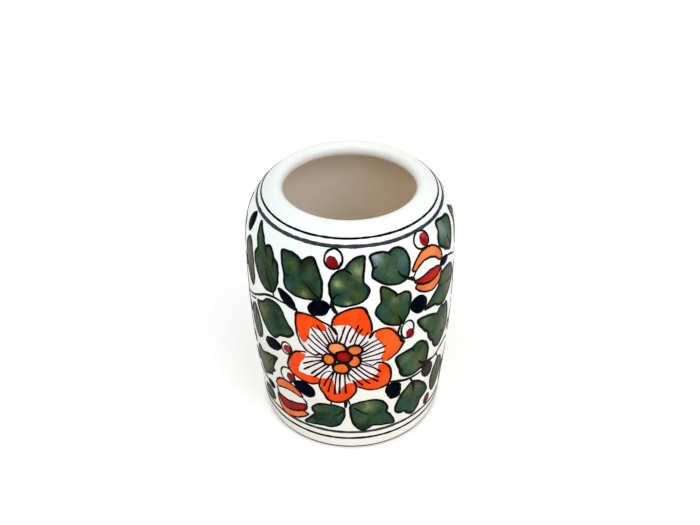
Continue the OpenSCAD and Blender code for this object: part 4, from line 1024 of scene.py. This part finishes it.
def painted_anthers():
    anthers, rounds, eyes = Piece(), Piece(), Piece()
    for k, row in enumerate(ANTHERS):
        outline = softened(kept_off(wavered(disc(*row), ANTHER_HAND, k), *EYE), 1)
        fill(anthers, outline, ANTHER_WASHES.get(k, ()))
        outline_line(rounds, outline, ANTHER_LINE_W, ANTHER_LINE_SEED + k)
    outline = wavered(disc(*EYE), EYE_HAND)
    fill(eyes, outline, EYE_WASHES[0], EYE_LIFT)
    outline_line(rounds, outline, ANTHER_LINE_W, EYE_LINE_SEED)
    anthers.make("anther_colour", APRICOT, "flower_anthers")
    rounds.make("anther_lines", PETAL_BLACK, "flower_anthers", extra=True)
    eyes.make("eye_colour", EYE_RED, "flower_eyes")


def painted_tulips():
    petals, throats, dark = Piece(), Piece(), Piece()
    for piece, tables, washes in ((petals, TULIP_PETALS, TULIP_WASHES),
                                  (throats, TULIP_THROATS, THROAT_WASHES)):
        for k, rows in enumerate(tables):
            outline = wavered(softened(bowed(rows), 2), TULIP_HAND)
            fill(piece, outline, washes.get(k, ()))
            outline_line(dark, outline, TULIP_LINE_W, TULIP_LINE_SEED)
    petals.make("tulip_colour", TULIP, "tulip_petals")
    throats.make("throat_colour", THROAT, "tulip_throats")
    dark.make("tulip_lines", PETAL_BLACK, "tulip_petals", extra=True)


def painted_buds():
    rings, hearts = Piece(), Piece()
    inset = BUD_LINE_W / 2
    for k, (u, v, half_w, half_h, tilt) in enumerate(BUD_RINGS):
        outline = disc(u, v, half_w - inset, half_h - inset, tilt)
        outline_line(rings, outline, BUD_LINE_W, BUD_LINE_SEED + k)
    filled(hearts, [disc(*row) for row in BUD_HEARTS], HEART_HAND)
    rings.make("bud_rings_paint", BLACK, "bud_rings")
    hearts.make("bud_hearts_paint", CRIMSON, "bud_hearts")


# Stage, light and camera
CAMERA_TILT = 37.0        # degrees above the horizon, as in the photograph
CAMERA_DISTANCE = .420
CAMERA_AIM_Z = .07273
CAMERA_ROLL = -.011
PHOTO_W, FOCAL_PIXELS, AXIS_PIXEL = 700, 977.0, 350.4
LIGHT_LEVEL = .70         # how bright the world's light is; 1 is white
KEY_WATTS, FILL_WATTS = 11.4, 6.0
WHITE = (1, 1, 1, 1)
FLOOR_HALF = 3000         # half the floor's width, mm
FLOOR_GLOW = .19          # added where the camera looks at the floor


def camera():
    data = bpy.data.cameras.new("camera")
    data.sensor_width = 36.0
    data.lens = FOCAL_PIXELS / PHOTO_W * data.sensor_width
    data.shift_x = (PHOTO_W / 2 - AXIS_PIXEL) / PHOTO_W
    data.clip_start, data.clip_end = .01, 20
    eye = in_scene("camera", data)
    tilt = math.radians(CAMERA_TILT)
    aim = Vector((0, 0, CAMERA_AIM_Z))
    back = Vector((0, -math.cos(tilt), math.sin(tilt)))
    turn = (-back).to_track_quat("-Z", "Y").to_matrix() @ Matrix.Rotation(CAMERA_ROLL, 3, "Z")
    eye.matrix_world = Matrix.Translation(aim + back * CAMERA_DISTANCE) @ turn.to_4x4()
    bpy.context.scene.camera = eye


def lamp(name, place, aim, size, watts):
    data = bpy.data.lights.new(name, "AREA")
    data.shape, data.size, data.energy = "SQUARE", size, watts
    piece = in_scene(name, data)
    piece.location = place
    piece.rotation_euler = (Vector(aim) - Vector(place)).to_track_quat("-Z", "Y").to_euler()


def world():
    """Even pale light, and plain white where the camera looks past the floor."""
    made = bpy.data.worlds.new("soft_light")
    made.use_nodes = True
    bpy.context.scene.world = made
    nodes, links = made.node_tree.nodes, made.node_tree.links
    light, white = nodes["Background"], nodes.new("ShaderNodeBackground")
    for node, strength in ((light, LIGHT_LEVEL), (white, 1.0)):
        node.inputs["Color"].default_value = WHITE
        node.inputs["Strength"].default_value = strength
    ray, mix = nodes.new("ShaderNodeLightPath"), nodes.new("ShaderNodeMixShader")
    links.new(ray.outputs["Is Camera Ray"], mix.inputs["Fac"])
    links.new(light.outputs[0], mix.inputs[1])
    links.new(white.outputs[0], mix.inputs[2])
    links.new(mix.outputs[0], nodes["World Output"].inputs["Surface"])


def floor():
    """A plain white floor that holds the jar's shadow."""
    corners = [(x * FLOOR_HALF, y * FLOOR_HALF, 0) for x, y in ((-1, -1), (1, -1), (1, 1), (-1, 1))]
    piece = in_scene("floor", mesh_of("floor", corners, [(0, 1, 2, 3)]))
    n = Nodes("floor_white")
    n.put(n.shader.inputs["Emission Color"], WHITE)
    seen = n.new("LightPath").outputs["Is Camera Ray"]
    n.put(n.shader.inputs["Emission Strength"], n.times(seen, FLOOR_GLOW))
    piece.data.materials.append(n.done(WHITE, 1.0, 0.0))


jar()
painted_rings()
painted_leaves()
painted_stems()
painted_petals()
painted_anthers()
painted_tulips()
painted_buds()
camera()
world()
floor()
lamp("key_lamp", (.9, -1.1, 1.6), (0, 0, .05), 1.4, KEY_WATTS)
lamp("fill_lamp", (-.8, -.9, 1.6), (0, 0, .09), 1.2, FILL_WATTS)
bpy.context.scene.view_settings.view_transform = "Standard"
